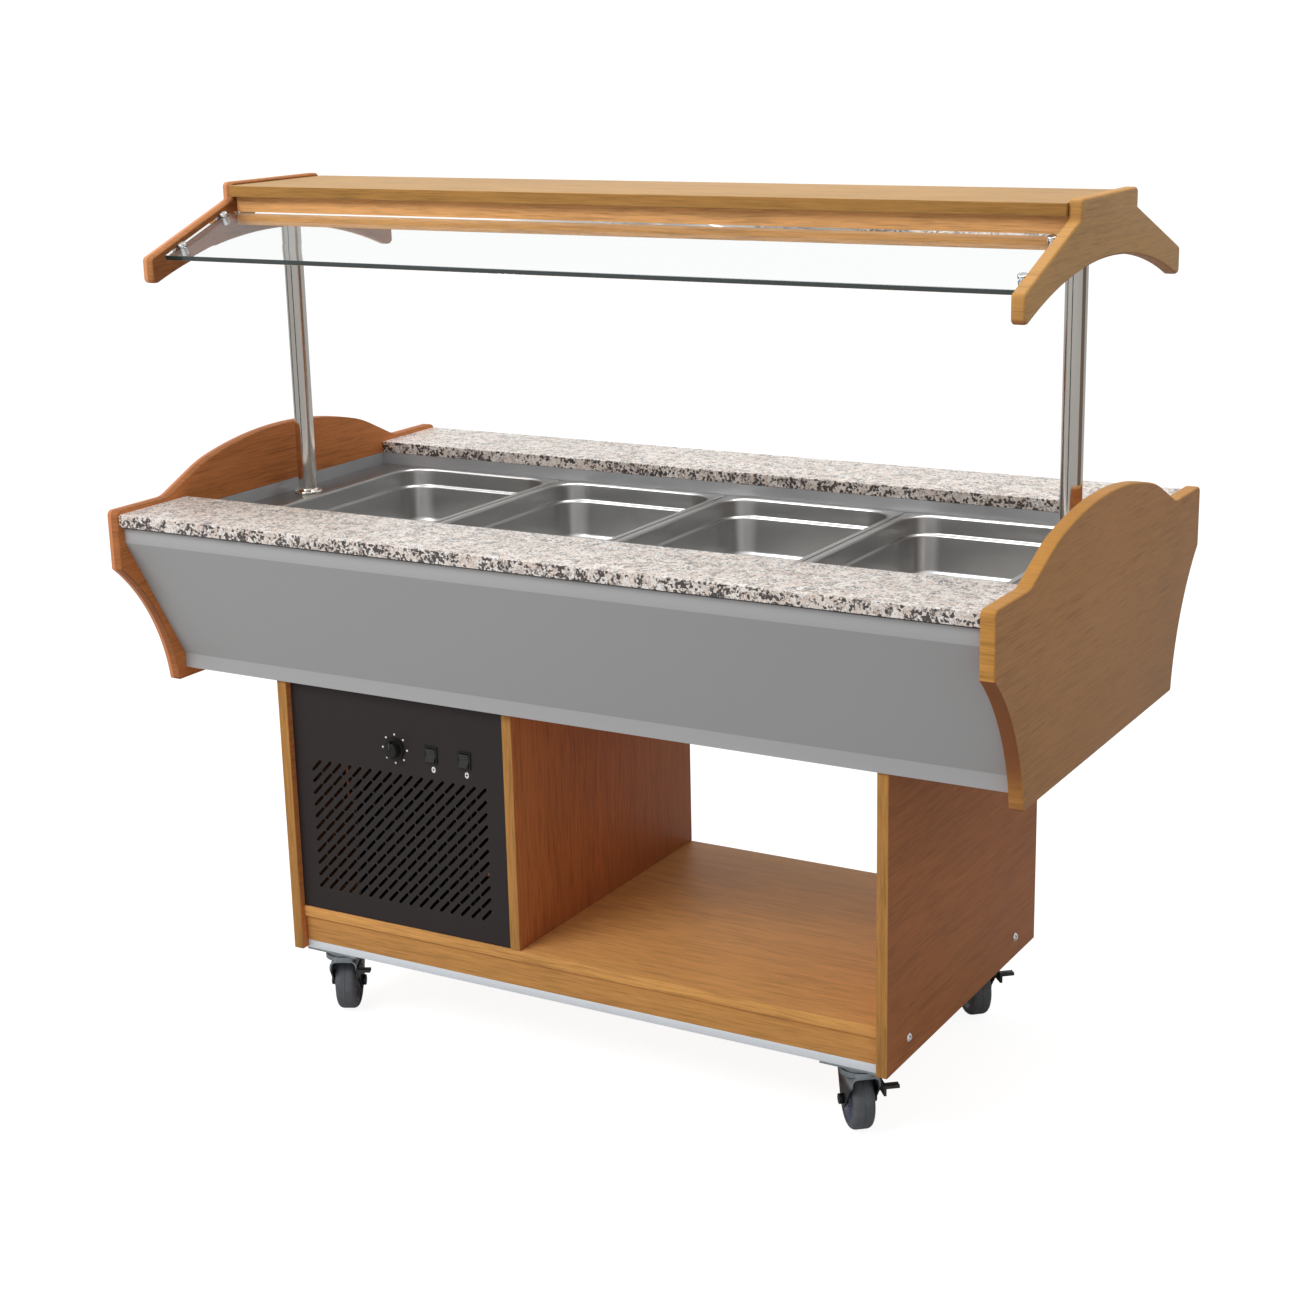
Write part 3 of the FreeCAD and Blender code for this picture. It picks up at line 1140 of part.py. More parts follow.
def castor_wheel(corner):
    """Rubber tyre with round shoulders on a dished hub; both turn on the axle."""
    half, rim = "wheel_width / 2", "wheel_diameter / 2"
    hub = "hub_diameter / 2"
    foot, shoulder = "(%s - tyre_inset)" % half, "(%s - tyre_side)" % half
    tread = "(%s - tread_inset)" % half
    tyre_points = [("-" + foot, hub), (foot, hub), (half, hub + " + tyre_bead"),
                   (shoulder, rim + " - tread_drop"), (tread, rim), ("-" + tread, rim),
                   ("-" + shoulder, rim + " - tread_drop"), ("-" + half, hub + " + tyre_bead")]
    tyre = turned(corner + "_tyre", "XZ_Plane", tyre_points, "H_Axis",
                  {3: ("tyre_round", 1), 5: ("tyre_round", 1)})
    boss, bore = "wheel_bore / 2 + hub_boss", "wheel_bore / 2"
    dish = "(%s - hub_dish)" % half
    hub_points = [("-" + half, bore), (half, bore), (half, boss), (dish, boss + " + hub_draft"),
                  (dish, hub + " - hub_rim"), (foot, hub), ("-" + foot, hub),
                  ("-" + dish, hub + " - hub_rim"), ("-" + dish, boss + " + hub_draft"),
                  ("-" + half, boss)]
    hub_body = turned(corner + "_hub", "XZ_Plane", hub_points, "H_Axis")
    for item in (tyre, hub_body):
        move(item, "0", "castor_trail", WHEEL_R)
    return group(corner + "_wheel", [tyre, hub_body])


def castor_pedal(corner):
    """Side brake lever on its pin, with a tread tab that reaches out past the fork."""
    start = "%s / 2 + pedal_play" % FORK_OUTSIDE
    z = CROWN_TOP + " - pedal_drop"
    low, high = z + " - pedal_height / 2", z + " + pedal_height / 2"
    arm = block(corner + "_pedal_arm", (start, start + " + pedal_sheet"),
                ("-pedal_length", "pedal_heel"), (low, high))
    tab = block(corner + "_pedal_tab", (start, start + " + pedal_reach"),
                ("-pedal_length", "-pedal_length + pedal_tab"), (high + " - pedal_tab_sheet", high))
    hole = rod(corner + "_pedal_hole", "x", "pedal_pivot / 2 + pedal_pivot_play",
               (start + " - pedal_sheet", "-pedal_pivot_back", z), "3 * pedal_sheet")
    return cut(corner + "_pedal", joined(corner + "_pedal_blank", [arm, tab]), hole)


def castor_plate(corner):
    """Fixing plate with the upper race and the pin that holds the fork."""
    plate = block(corner + "_plate_sheet", ("-plate_length / 2", "plate_length / 2"),
                  ("-plate_width / 2", "plate_width / 2"), (PLATE_FOOT, "bearer_foot"))
    race_foot = "(%s + %s) / 2 + race_gap / 2" % (PLATE_FOOT, CROWN_TOP)
    race = rod(corner + "_upper_race", "z", "race_diameter / 2 - race_lip", ("0", "0", race_foot),
               "%s - (%s)" % (PLATE_FOOT, race_foot))
    pin = rod(corner + "_king_pin", "z", "pin_diameter / 2", ("0", "0", CROWN_FOOT + " + pin_end_gap"),
              "%s - %s - pin_end_gap" % (PLATE_FOOT, CROWN_FOOT))
    return joined(corner + "_plate", [plate, race, pin])


CASTORS = {
    "front_left": ("-castor_x", "-castor_front", FRONT_LEFT_TURN),
    "front_right": ("castor_x", "-castor_front", FRONT_RIGHT_TURN),
    "rear_left": ("-castor_x", "castor_rear", REAR_LEFT_TURN),
    "rear_right": ("castor_x", "castor_rear", REAR_RIGHT_TURN),
}
castor_nodes = []
castor_plates = []
for corner, (x, y, turn) in CASTORS.items():
    swivel = FreeCAD.Placement(V(0, 0, 0), FreeCAD.Rotation(V(0, 0, 1), turn))
    for piece in (castor_fork(corner), castor_wheel(corner), castor_pedal(corner)):
        piece.Placement = swivel
        castor_nodes.append(move(piece, x, y))
    castor_plates.append(move(castor_plate(corner), x, y))
castor_plates = group("castor_plates", castor_plates)

# ---- check and write -----------------------------------------------------------------------------

nodes = [left_cheek, right_cheek, front_fascia, rear_fascia, front_granite, rear_granite,
         granite_seals, well_liner, pan_bars, insulation_foam, floor_board, drain_pipe,
         left_post, right_post, left_bracket, right_bracket, top_board, valances,
         lamp_fitting, lamp, front_glass, rear_glass, glass_standoffs, left_side, right_side,
         shelf, divider, base_frame, plinth_strips, cover_caps, front_grille,
         rear_grille, control_box, thermostat_knob, switch_bezels, cooling_switch, light_switch,
         condenser, fan_shroud, fan_motor, fan_rotor, compressor, refrigerant_lines, castor_plates]
nodes += pans + castor_nodes
doc.recompute()
for item in doc.Objects:
    if "Invalid" in item.State or "Error" in item.State:
        raise RuntimeError("%s failed: %s" % (item.Label, item.State))
for item in nodes:
    if item.Shape.isNull() or not item.Shape.isValid() or not item.Shape.Solids:
        raise RuntimeError("%s has no valid solid" % item.Label)
for item in nodes:
    item.Shape.exportStep("parts/%s.step" % item.Label)
    box = item.Shape.BoundBox
    print("%-18s %2d solids %12.0f mm3  x %7.1f %7.1f  y %7.1f %7.1f  z %7.1f %7.1f" % (
        item.Label, len(item.Shape.Solids), item.Shape.Volume, box.XMin, box.XMax,
        box.YMin, box.YMax, box.ZMin, box.ZMax))
print(len(nodes), "nodes")
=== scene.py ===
import json
import math

import bmesh
import bpy
from mathutils import Matrix, Vector


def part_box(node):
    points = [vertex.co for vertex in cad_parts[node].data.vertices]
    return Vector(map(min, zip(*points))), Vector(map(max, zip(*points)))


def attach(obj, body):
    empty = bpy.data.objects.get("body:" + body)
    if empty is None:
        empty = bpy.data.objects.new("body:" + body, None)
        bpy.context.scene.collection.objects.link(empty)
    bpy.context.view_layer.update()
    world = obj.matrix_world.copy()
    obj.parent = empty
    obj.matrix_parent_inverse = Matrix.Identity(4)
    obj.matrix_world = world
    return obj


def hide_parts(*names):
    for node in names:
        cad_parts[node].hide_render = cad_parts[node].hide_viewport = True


MM = 0.001
UP = (0, 0, 1)
QUARTER_X = Matrix.Rotation(math.radians(90), 4, "X")   # lays a shape made flat on an upright panel

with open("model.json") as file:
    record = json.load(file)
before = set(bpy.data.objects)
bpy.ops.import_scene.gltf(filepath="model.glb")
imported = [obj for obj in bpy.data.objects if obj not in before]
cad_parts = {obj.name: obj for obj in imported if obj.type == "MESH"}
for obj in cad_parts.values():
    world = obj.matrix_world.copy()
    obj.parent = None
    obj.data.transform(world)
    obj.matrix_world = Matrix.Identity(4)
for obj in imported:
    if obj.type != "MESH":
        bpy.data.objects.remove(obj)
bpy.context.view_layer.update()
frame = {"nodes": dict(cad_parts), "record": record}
BODY_OF = {node: body for body, nodes in frame["record"]["behaviour"]["bodies"].items()
           for node in nodes}


# ---- camera and lamps -------------------------------------------------------------------------

CAMERA_PLACE = (1.7706, -3.0521, 1.6031)
CAMERA_AZIMUTH, CAMERA_ELEVATION, CAMERA_ROLL = 0.52747, -0.27148, -0.02302   # radians
CAMERA_LENS, CAMERA_SENSOR, CAMERA_REACH = 63.07, 36, 200


def set_camera():
    """The photograph's viewpoint, with a slight roll."""
    level = math.cos(CAMERA_ELEVATION)
    forward = Vector((-math.sin(CAMERA_AZIMUTH) * level, math.cos(CAMERA_AZIMUTH) * level,
                      math.sin(CAMERA_ELEVATION)))
    right = forward.cross(Vector(UP)).normalized()
    up = right.cross(forward)
    across = right * math.cos(CAMERA_ROLL) + up * math.sin(CAMERA_ROLL)
    upward = up * math.cos(CAMERA_ROLL) - right * math.sin(CAMERA_ROLL)
    data = bpy.data.cameras.new("camera")
    data.lens, data.sensor_width, data.clip_end = CAMERA_LENS, CAMERA_SENSOR, CAMERA_REACH
    camera = bpy.data.objects.new("camera", data)
    turn = Matrix((across, upward, -forward)).transposed().to_4x4()
    camera.matrix_world = Matrix.Translation(CAMERA_PLACE) @ turn
    bpy.context.collection.objects.link(camera)
    bpy.context.scene.camera = camera


def add_lamp(name, place, target, size, power):
    """A soft rectangular lamp that looks at a target."""
    data = bpy.data.lights.new(name, "AREA")
    data.shape, data.size, data.size_y, data.energy = "RECTANGLE", size[0], size[1], power
    lamp = bpy.data.objects.new(name, data)
    aim = (Vector(target) - Vector(place)).to_track_quat("-Z", "Y")
    lamp.matrix_world = Matrix.Translation(place) @ aim.to_matrix().to_4x4()
    bpy.context.collection.objects.link(lamp)


# ---- shader maths ------------------------------------------------------------------------------

def srgb(red, green, blue):
    """A colour as seen, 0 to 255, as a linear RGBA value."""
    def linear(part):
        part /= 255
        return part / 12.92 if part <= 0.04045 else ((part + 0.055) / 1.055) ** 2.4
    return (linear(red), linear(green), linear(blue), 1)


def shade(tone, factor):
    """A linear colour made darker or brighter, up to white."""
    return tuple(min(part * factor, 1) for part in tone[:3]) + (1,)


class Value:
    """A socket in a material's tree. Arithmetic adds Math nodes, and node() adds any other."""

    def __init__(self, tree, socket=None):
        self.tree = tree
        self.socket = socket

    def node(self, kind, settings=None, inputs=None, out=0):
        """Adds a shader node. Inputs may be values or constants; out names the output taken."""
        made = self.tree.nodes.new("ShaderNode" + kind)
        for name, setting in (settings or {}).items():
            if name == "stops":
                ends = made.color_ramp.elements
                ends[0].position, ends[0].color = setting[0]
                ends[1].position, ends[1].color = setting[-1]
                for position, colour in setting[1:-1]:
                    ends.new(position).color = colour
            elif name == "interpolation":
                made.color_ramp.interpolation = setting
            else:
                setattr(made, name, setting)
        for key, item in (inputs or {}).items():
            if isinstance(item, Value):
                self.tree.links.new(item.socket, made.inputs[key])
            else:
                made.inputs[key].default_value = item
        return Value(self.tree, made.outputs[out])

    def math(self, operation, *terms):
        return self.node("Math", {"operation": operation}, dict(enumerate(terms)))

    def __add__(self, other):
        return self.math("ADD", self, other)

    def __sub__(self, other):
        return self.math("SUBTRACT", self, other)

    def __rsub__(self, other):
        return self.math("SUBTRACT", other, self)

    def __mul__(self, other):
        return self.math("MULTIPLY", self, other)

    def __truediv__(self, other):
        return self.math("DIVIDE", self, other)

    __radd__ = __add__
    __rmul__ = __mul__

    def above(self, edge, soft):
        """0 below edge and 1 above it, eased over the soft width."""
        return self.node("MapRange", {"interpolation_type": "SMOOTHSTEP"},
                         {0: self, 1: edge - soft / 2, 2: edge + soft / 2, 3: 0.0, 4: 1.0})

    def place(self, scale=(1, 1, 1), shift=(0, 0, 0)):
        """Object coordinates in metres, scaled and then shifted."""
        return self.node("Mapping", {}, {
            "Vector": self.node("TexCoord", {}, {}, "Object"),
            "Scale": scale, "Location": shift})

    def axis(self, name):
        """One of the object coordinates, in metres."""
        return self.node("SeparateXYZ", {}, {0: self.node("TexCoord", {}, {}, "Object")}, name)

    def facing(self, direction):
        """How far the surface looks in a direction, 1 where it looks straight that way."""
        unit = tuple(Vector(direction).normalized())
        return self.node("VectorMath", {"operation": "DOT_PRODUCT"},
                         {0: self.node("NewGeometry", {}, {}, "Normal"), 1: unit}, "Value")

    def noise(self, vector, scale, detail=4.0, roughness=0.55, distortion=0.0):
        return self.node("TexNoise", {}, {"Vector": vector, "Scale": scale, "Detail": detail,
                                          "Roughness": roughness, "Distortion": distortion})

    def mixed(self, factor, first, second, mode="MIX"):
        return self.node("Mix", {"data_type": "RGBA", "blend_type": mode},
                         {0: factor, 6: first, 7: second}, 2)

    def ramp(self, factor, stops, interpolation="LINEAR"):
        return self.node("ValToRGB", {"stops": stops, "interpolation": interpolation},
                         {0: factor})

    def bump(self, height, strength, distance):
        return self.node("Bump", {}, {"Height": height, "Strength": strength,
                                      "Distance": distance})


def material(name, look):
    """A Principled material: look(value) returns its varying inputs and its constants."""
    made = bpy.data.materials.new(name)
    made.use_nodes = True
    shader = made.node_tree.nodes["Principled BSDF"]
    for key, item in look(Value(made.node_tree)).items():
        if isinstance(item, Value):
            made.node_tree.links.new(item.socket, shader.inputs[key])
        else:
            shader.inputs[key].default_value = item
    return made


# ---- finishes ----------------------------------------------------------------------------------

CHEEK_ARRIS, BRACKET_ARRIS = 0.7365, 0.7225   # X where the end boards' outer arrises begin
ARRIS_BLUR = 0.0015


def grained(along, across, length):
    """A noise scale that is drawn out along one axis."""
    scale = [across, across, across]
    scale["xyz".index(along)] = length
    return scale


def wood(name, tone, along, contrast=1.0, seed=0.0, specular=0.12, lit=0.0, fade=None,
         arris=0.0):
    """Beech laminate: soft streaks, short fine strokes, pores and a broad drift of tone.
    lit, for shaped edges, paints light where it looks up and shade where it looks down.
    fade is (axis, none, full, share): painted shade deepens the tone by that share between two
    places.
    arris is the distance in X from the middle of the part beyond which an edge takes a painted
    highlight."""
    dark = shade(tone, 1 - 0.42 * contrast)
    pale = shade(tone, 1 + 0.24 * contrast)
    deep = shade(tone, 0.48)
    # the colour of the painted shade on faces that look down
    shaded = (tone[0] * 0.41, tone[1] * 0.31, tone[2] * 0.45, 1)
    # a pale colour for the painted highlight on the outer arris
    arris_highlight = (min(tone[0] * 1.6, 1), min(tone[1] * 1.75, 1), min(tone[2] * 2.4, 1), 1)

    def look(value):
        shift = (seed, seed * 0.7, seed * 1.3)
        drift = value.noise(value.place((2.2, 2.2, 2.2), shift=shift), 1.3, 2.0)
        streak = value.noise(value.place(grained(along, 90, 5), shift=shift), 1.0, 4.0, 0.58, 0.35)
        stroke = value.noise(value.place(grained(along, 330, 15), shift=shift), 1.0, 3.0, 0.6, 0.2)
        speck = value.noise(value.place(grained(along, 560, 26), shift=shift), 1.0, 1.0)
        pore = speck.above(0.63, 0.10)
        level = streak * 0.28 + stroke * 0.50 + drift * 0.22 + 0.02
        colour = value.ramp(level, [(0.36, dark), (0.52, tone), (0.68, pale)])
        colour = value.mixed(pore * (0.32 * contrast), colour, deep)
        if lit:
            # painted shade where the surface looks down
            below = 1 - value.facing(UP).above(-0.20, 0.36)
            colour = value.mixed(below * lit, colour, shaded)
            # painted light where the surface looks up
            above = value.facing(UP).above(0.45, 0.8)
            colour = value.mixed(above * (lit * 0.5), colour, pale)
        if fade:
            axis, none, full, share = fade
            # painted shade between the two places
            ramp = (value.axis(axis) - none) / (full - none)
            colour = value.mixed(ramp.above(0.5, 1.0) * share, colour, deep)
        if arris:
            # painted highlight on the outer arris
            outer = value.math("ABSOLUTE", value.axis("X")).above(arris, ARRIS_BLUR)
            colour = value.mixed(outer, colour, arris_highlight)
        return {"Base Color": colour, "Roughness": 0.44 + stroke * 0.14,
                "Normal": value.bump(stroke * 0.7 - pore, 0.10, 0.0004),
                "Specular IOR Level": specular}
    return material(name, look)


def granite_look(value):
    """Polished granite: pale feldspar, beige and pink grains, and clusters of black mica that show
    most on the sawn edge."""
    wobble = value.noise(value.place(), 160.0, 3.0)
    flat = value.facing(UP).above(0.6, 0.5)
    scatter = value.node("TexNoise", {}, {"Vector": value.place(), "Scale": 150.0,
                                          "Detail": 3.0}, "Color")
    grains = value.node("TexVoronoi", {}, {
        "Vector": value.mixed(0.045, value.place(), scatter, "ADD"), "Scale": 135.0}, "Color")
    pick = value.node("SeparateColor", {}, {0: grains})
    tones = value.ramp(pick, [
        (0.0, srgb(122, 114, 110)), (0.05, srgb(166, 156, 150)), (0.15, srgb(228, 212, 200)),
        (0.36, srgb(244, 238, 230)), (0.52, srgb(234, 222, 212)), (0.66, srgb(222, 200, 186)),
        (0.73, srgb(248, 244, 240)), (0.90, srgb(206, 198, 192))], "CONSTANT")
    cluster = value.noise(value.place(shift=(3, 1, 2)), 52.0, 4.0, 0.65)
    flake = value.node("TexVoronoi", {}, {"Vector": value.place(shift=(1, 2, 3)),
                                          "Scale": 250.0}, "Color")
    mica = value.node("SeparateColor", {}, {0: flake}, 1) * 0.35 + cluster - flat * 0.045
    tones = value.mixed(mica.above(0.745, 0.03) * (1 - flat * 0.4), tones, srgb(60, 56, 57))
    tones = value.mixed(wobble.above(0.64, 0.06) * 0.4, tones, srgb(140, 130, 126))
    tones = value.mixed((1 - flat) * 0.14, tones, srgb(120, 104, 96))
    return {"Base Color": tones, "Roughness": 0.20 + wobble * 0.2, "Specular IOR Level": 0.5,
            "Normal": value.bump(wobble, 0.05, 0.0003)}


def pan_look(value):
    """Deep-drawn satin steel, with painted shade on the side lips, floors and flat rims and painted
    highlights at the rear bends and rear left corner.
    """
    haze = value.noise(value.place((4, 4, 9)), 2.0, 3.0, 0.6, 0.5)
    drawn = value.noise(value.place((60, 60, 700)), 1.0, 2.0, 0.6)
    walls = value.mixed(haze, srgb(166, 166, 165), srgb(190, 190, 189))
    # painted highlights on the rear left corner and the rear bends
    corner = value.facing((0.37, -0.93, 0)).above(0.94, 0.12)
    bend = value.facing((0.17, -0.68, 0.71)).above(0.88, 0.20)
    # painted shade on the floors, flat rims and side lips
    floor = value.facing(UP).above(0.97, 0.04)
    lip = value.facing((0.7, 0, 0.7)).above(0.90, 0.16)
    colour = value.mixed(corner * 0.8, walls, srgb(248, 248, 248))
    colour = value.mixed(bend, colour, srgb(252, 252, 252))
    colour = value.mixed(floor, colour, srgb(160, 156, 152))
    colour = value.mixed(lip * 0.8, colour, srgb(128, 126, 124))
    return {"Base Color": colour, "Metallic": 1.0,
            "Roughness": 0.26 + haze * 0.06 + drawn * 0.03,
            "Normal": value.bump(drawn, 0.03, 0.0002)}


def brushed(name, tone, along, roughness, smear=0.08, depth=0.1, metallic=1.0):
    """Stainless sheet with fine lines along one axis and faint wipe marks."""
    def look(value):
        line = value.noise(value.place(grained(along, 900, 9)), 1.0, 3.0, 0.7)
        wipe = value.noise(value.place((7, 7, 7)), 1.6, 3.0, 0.6, 0.8)
        colour = value.mixed(wipe * 0.5 + line * 0.25, shade(tone, 0.82), tone)
        return {"Base Color": colour, "Metallic": metallic,
                "Roughness": roughness - smear / 2 + wipe * smear + line * 0.06,
                "Normal": value.bump(line, depth, 0.00025)}
    return material(name, look)


def painted(name, tone, roughness, grit=900.0, depth=0.15, specular=0.5):
    """Powder coat or moulded plastic: fine orange peel and a slight drift of tone."""
    def look(value):
        peel = value.noise(value.place(), grit, 2.0)
        drift = value.noise(value.place(), 6.0, 3.0)
        colour = value.mixed(drift, shade(tone, 0.86), shade(tone, 1.10))
        return {"Base Color": colour, "Roughness": roughness + drift * 0.08 - 0.04,
                "Specular IOR Level": specular, "Normal": value.bump(peel, depth, 0.0002)}
    return material(name, look)


def deck_look(value):
    """Satin stainless sheet, with painted shade where it lies flat under the ledges."""
    line = value.noise(value.place(grained("x", 900, 9)), 1.0, 3.0, 0.7)
    wipe = value.noise(value.place((7, 7, 7)), 1.6, 3.0, 0.6, 0.8)
    upright = value.mixed(wipe, srgb(184, 186, 189), srgb(200, 202, 204))
    # painted shade: the flat parts are darker than the upright ones
    colour = value.mixed(value.facing(UP).above(0.6, 0.4), upright, srgb(118, 117, 116))
    return {"Base Color": colour, "Metallic": 0.6, "Roughness": 0.34 + wipe * 0.06,
            "Normal": value.bump(line, 0.1, 0.00025)}


TOP_BAND_FOOT, FOOT_BAND_TOP, FOLD_BLUR = 0.8198, 0.6102, 0.0006


def fascia_look(value):
    """Satin stainless fascia; the upright bands at its top and foot are painted a little brighter,
    as painted light.
    """
    line = value.noise(value.place(grained("x", 700, 5)), 1.0, 3.0, 0.7)
    level = value.axis("Z")
    # painted light on the upright bands
    band = level.above(TOP_BAND_FOOT, FOLD_BLUR) + 1.0 - level.above(FOOT_BAND_TOP, FOLD_BLUR)
    colour = value.mixed(band, srgb(152, 152, 152), srgb(172, 172, 173))
    return {"Base Color": colour, "Roughness": 0.55 + line * 0.08, "Specular IOR Level": 0.3,
            "Normal": value.bump(line, 0.04, 0.0002)}


def glass_look(value):
    """Clear glass with faint smudges; the low index keeps its reflections weak."""
    smudge = value.noise(value.place((3, 3, 3)), 2.0, 3.0)
    return {"Base Color": srgb(246, 248, 247), "Roughness": smudge * 0.02,
            "Transmission Weight": 1.0, "IOR": 1.25}


def glass_edge_look(value):
    """The polished edge gathers the sheet's green and reads nearly black."""
    streak = value.noise(value.place((4, 60, 60)), 3.0, 3.0)
    return {"Base Color": value.mixed(streak, srgb(18, 30, 30), srgb(44, 60, 58)),
            "Roughness": 0.12 + streak * 0.1, "Specular IOR Level": 0.7}


def tyre_look(value):
    """Grey-black rubber with dust on the tread."""
    dust = value.noise(value.place(), 60.0, 4.0, 0.65)
    return {"Base Color": value.mixed(dust, srgb(58, 60, 64), srgb(104, 107, 112)),
            "Roughness": 0.55 + dust * 0.25, "Normal": value.bump(dust, 0.25, 0.0006)}


def zinc_look(value):
    """Zinc plate with a cloudy grain."""
    cloud = value.noise(value.place(), 90.0, 4.0, 0.6, 0.5)
    return {"Base Color": value.mixed(cloud, srgb(120, 128, 132), srgb(178, 186, 190)),
            "Metallic": 1.0, "Roughness": 0.26 + cloud * 0.2,
            "Normal": value.bump(cloud, 0.08, 0.0003)}


CROWN_FOOT, CROWN_BLUR = 0.084, 0.014


def fork_look(value):
    """Zinc crown over legs painted near black, as painted shade."""
    cloud = value.noise(value.place(), 90.0, 4.0, 0.6, 0.5)
    crown = value.mixed(cloud, srgb(104, 112, 118), srgb(160, 168, 172))
    # painted shade: near black below the crown's foot
    height = value.axis("Z").above(CROWN_FOOT, CROWN_BLUR)
    return {"Base Color": value.mixed(height, srgb(34, 37, 44), crown),
            "Metallic": 0.8, "Roughness": 0.28 + cloud * 0.2,
            "Normal": value.bump(cloud, 0.08, 0.0003)}


def foam_look(value):
    """Foam with closed cells."""
    cell = value.node("TexVoronoi", {}, {"Vector": value.place(), "Scale": 600.0})
    return {"Base Color": value.mixed(cell, srgb(224, 210, 160), srgb(236, 226, 186)),
            "Roughness": 0.9, "Normal": value.bump(cell, 0.4, 0.0006)}


def copper_look(value):
    """Copper tube with darker stains."""
    stain = value.noise(value.place(), 40.0, 4.0, 0.6, 0.4)
    return {"Base Color": value.mixed(stain, srgb(150, 84, 56), srgb(206, 138, 104)),
            "Metallic": 1.0, "Roughness": 0.24 + stain * 0.2,
            "Normal": value.bump(stain, 0.06, 0.0003)}


LOOKS = {
    "board_top": wood("board_top", srgb(186, 147, 98), "x", 0.8),
    "board_edge": wood("board_edge", srgb(174, 127, 68), "x", 0.9, 1.7),
    "valance": wood("valance", srgb(222, 165, 106), "x", 1.0, 2.0),
    "edge": wood("edge", srgb(176, 126, 68), "z", 0.9, 1.0),
    "shelf_edge": wood("shelf_edge", srgb(212, 154, 88), "x", 0.9, 1.5),
    "cheek_edge": wood("cheek_edge", srgb(190, 136, 70), "x", 1.0, 4.0, lit=1.0),
    # painted shade: darker towards the bottom
    "cheek_outer": wood("cheek_outer", srgb(168, 122, 78), "y", 0.7, 5.0,
                        fade=("Z", 0.85, 0.56, 0.2)),
    # the left end boards' edges: darker copies of the edge looks as painted shade, with a painted
    # highlight on the outer arris
    "shaded_edge": wood("shaded_edge", srgb(166, 104, 60), "x", 1.0, 4.5, lit=0.35,
                        arris=CHEEK_ARRIS),
    "shaded_wing_edge": wood("shaded_wing_edge", srgb(176, 116, 70), "x", 1.0, 4.7, lit=0.35,
                             arris=BRACKET_ARRIS),
    "cheek_inner": wood("cheek_inner", srgb(194, 120, 68), "y", 0.9, 6.0),
    "side_outer": wood("side_outer", srgb(156, 96, 52), "y", 0.8, 7.0),
    # painted shade: darker behind the front edge, inside the machine bay
    "left_side_inner": wood("left_side_inner", srgb(194, 120, 68), "y", 0.9, 6.5,
                            fade=("Y", -0.284, -0.280, 1.0)),
    "right_side_inner": wood("right_side_inner", srgb(194, 120, 68), "y", 0.9, 6.7),
    # painted shade: divider and shelf darker towards the back
    "divider": wood("divider", srgb(180, 109, 62), "z", 0.9, 8.0, fade=("Y", -0.05, 0.30, 0.4)),
    "shelf": wood("shelf", srgb(226, 165, 98), "x", 0.8, 9.0, 0.28, fade=("Y", -0.12, 0.32, 0.4)),
    "rail": wood("rail", srgb(196, 141, 80), "x", 0.8, 10.0),
    "wing": wood("wing", srgb(182, 142, 94), "y", 0.7, 11.0),
    "wing_inner": wood("wing_inner", srgb(142, 88, 50), "y", 1.0, 12.0),
    "wing_edge": wood("wing_edge", srgb(192, 142, 80), "x", 1.0, 13.0, lit=0.7),
    "granite": material("granite", granite_look),
    "deck_steel": material("deck_steel", deck_look),
    "pan_steel": material("pan_steel", pan_look),
    "post_steel": brushed("post_steel", srgb(238, 232, 224), "z", 0.08, 0.04, 0.02),
    "chrome": brushed("chrome", srgb(214, 216, 218), "x", 0.08, 0.05, 0.02),
    "fascia": material("fascia", fascia_look),
    "aluminium": brushed("aluminium", srgb(236, 242, 248), "x", 0.45, metallic=0.3),
    "seal": painted("seal", srgb(64, 68, 72), 0.6),
    "foam": material("foam", foam_look),
    "floor_panel": painted("floor_panel", srgb(150, 118, 84), 0.6, 300.0),
    "drain": painted("drain", srgb(190, 194, 198), 0.4),
    "lamp_white": painted("lamp_white", srgb(224, 226, 226), 0.35),
    "lamp_tube": painted("lamp_tube", srgb(238, 240, 238), 0.15, 400.0, 0.02),
    "glass": material("glass", glass_look),
    "glass_edge": material("glass_edge", glass_edge_look),
    "grille": painted("grille", srgb(45, 39, 38), 0.48, 1200.0, 0.12, 0.2),
    "black_plastic": painted("black_plastic", srgb(26, 26, 24), 0.42, specular=0.25),
    "gloss_black": painted("gloss_black", srgb(34, 35, 33), 0.3, 500.0, 0.05, 0.4),
    "white_mark": painted("white_mark", srgb(238, 236, 230), 0.5),
    "grey_mark": painted("grey_mark", srgb(84, 84, 82), 0.5),
    "machine_black": painted("machine_black", srgb(40, 40, 42), 0.4),
    "fin": brushed("fin", srgb(70, 72, 75), "z", 0.4),
    # near black for the divider's face in the machine bay: painted shade
    "painted_bay_shade": painted("painted_bay_shade", srgb(26, 25, 25), 0.7),
    "copper": material("copper", copper_look),
    "zinc": material("zinc", zinc_look),
    "fork": material("fork", fork_look),
    "tyre": material("tyre", tyre_look),
    "hub": painted("hub", srgb(86, 94, 112), 0.4, 500.0),
    "pedal": painted("pedal", srgb(30, 32, 33), 0.4),
}


# ---- making and settling pieces ----------------------------------------------------------------

def add_on(piece, node):
    """A small extra that rides with a node's body."""
    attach(piece, BODY_OF[node])


def settle(piece, node):
    """The piece stands for a CAD node and rides with its body."""
    add_on(piece, node)
    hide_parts(node)


def object_from(name, mesh_data, looks):
    """An object of a mesh, with its looks in order."""
    for look in looks:
        mesh_data.materials.append(LOOKS[look])
    piece = bpy.data.objects.new(name, mesh_data)
    bpy.context.collection.objects.link(piece)
    return piece


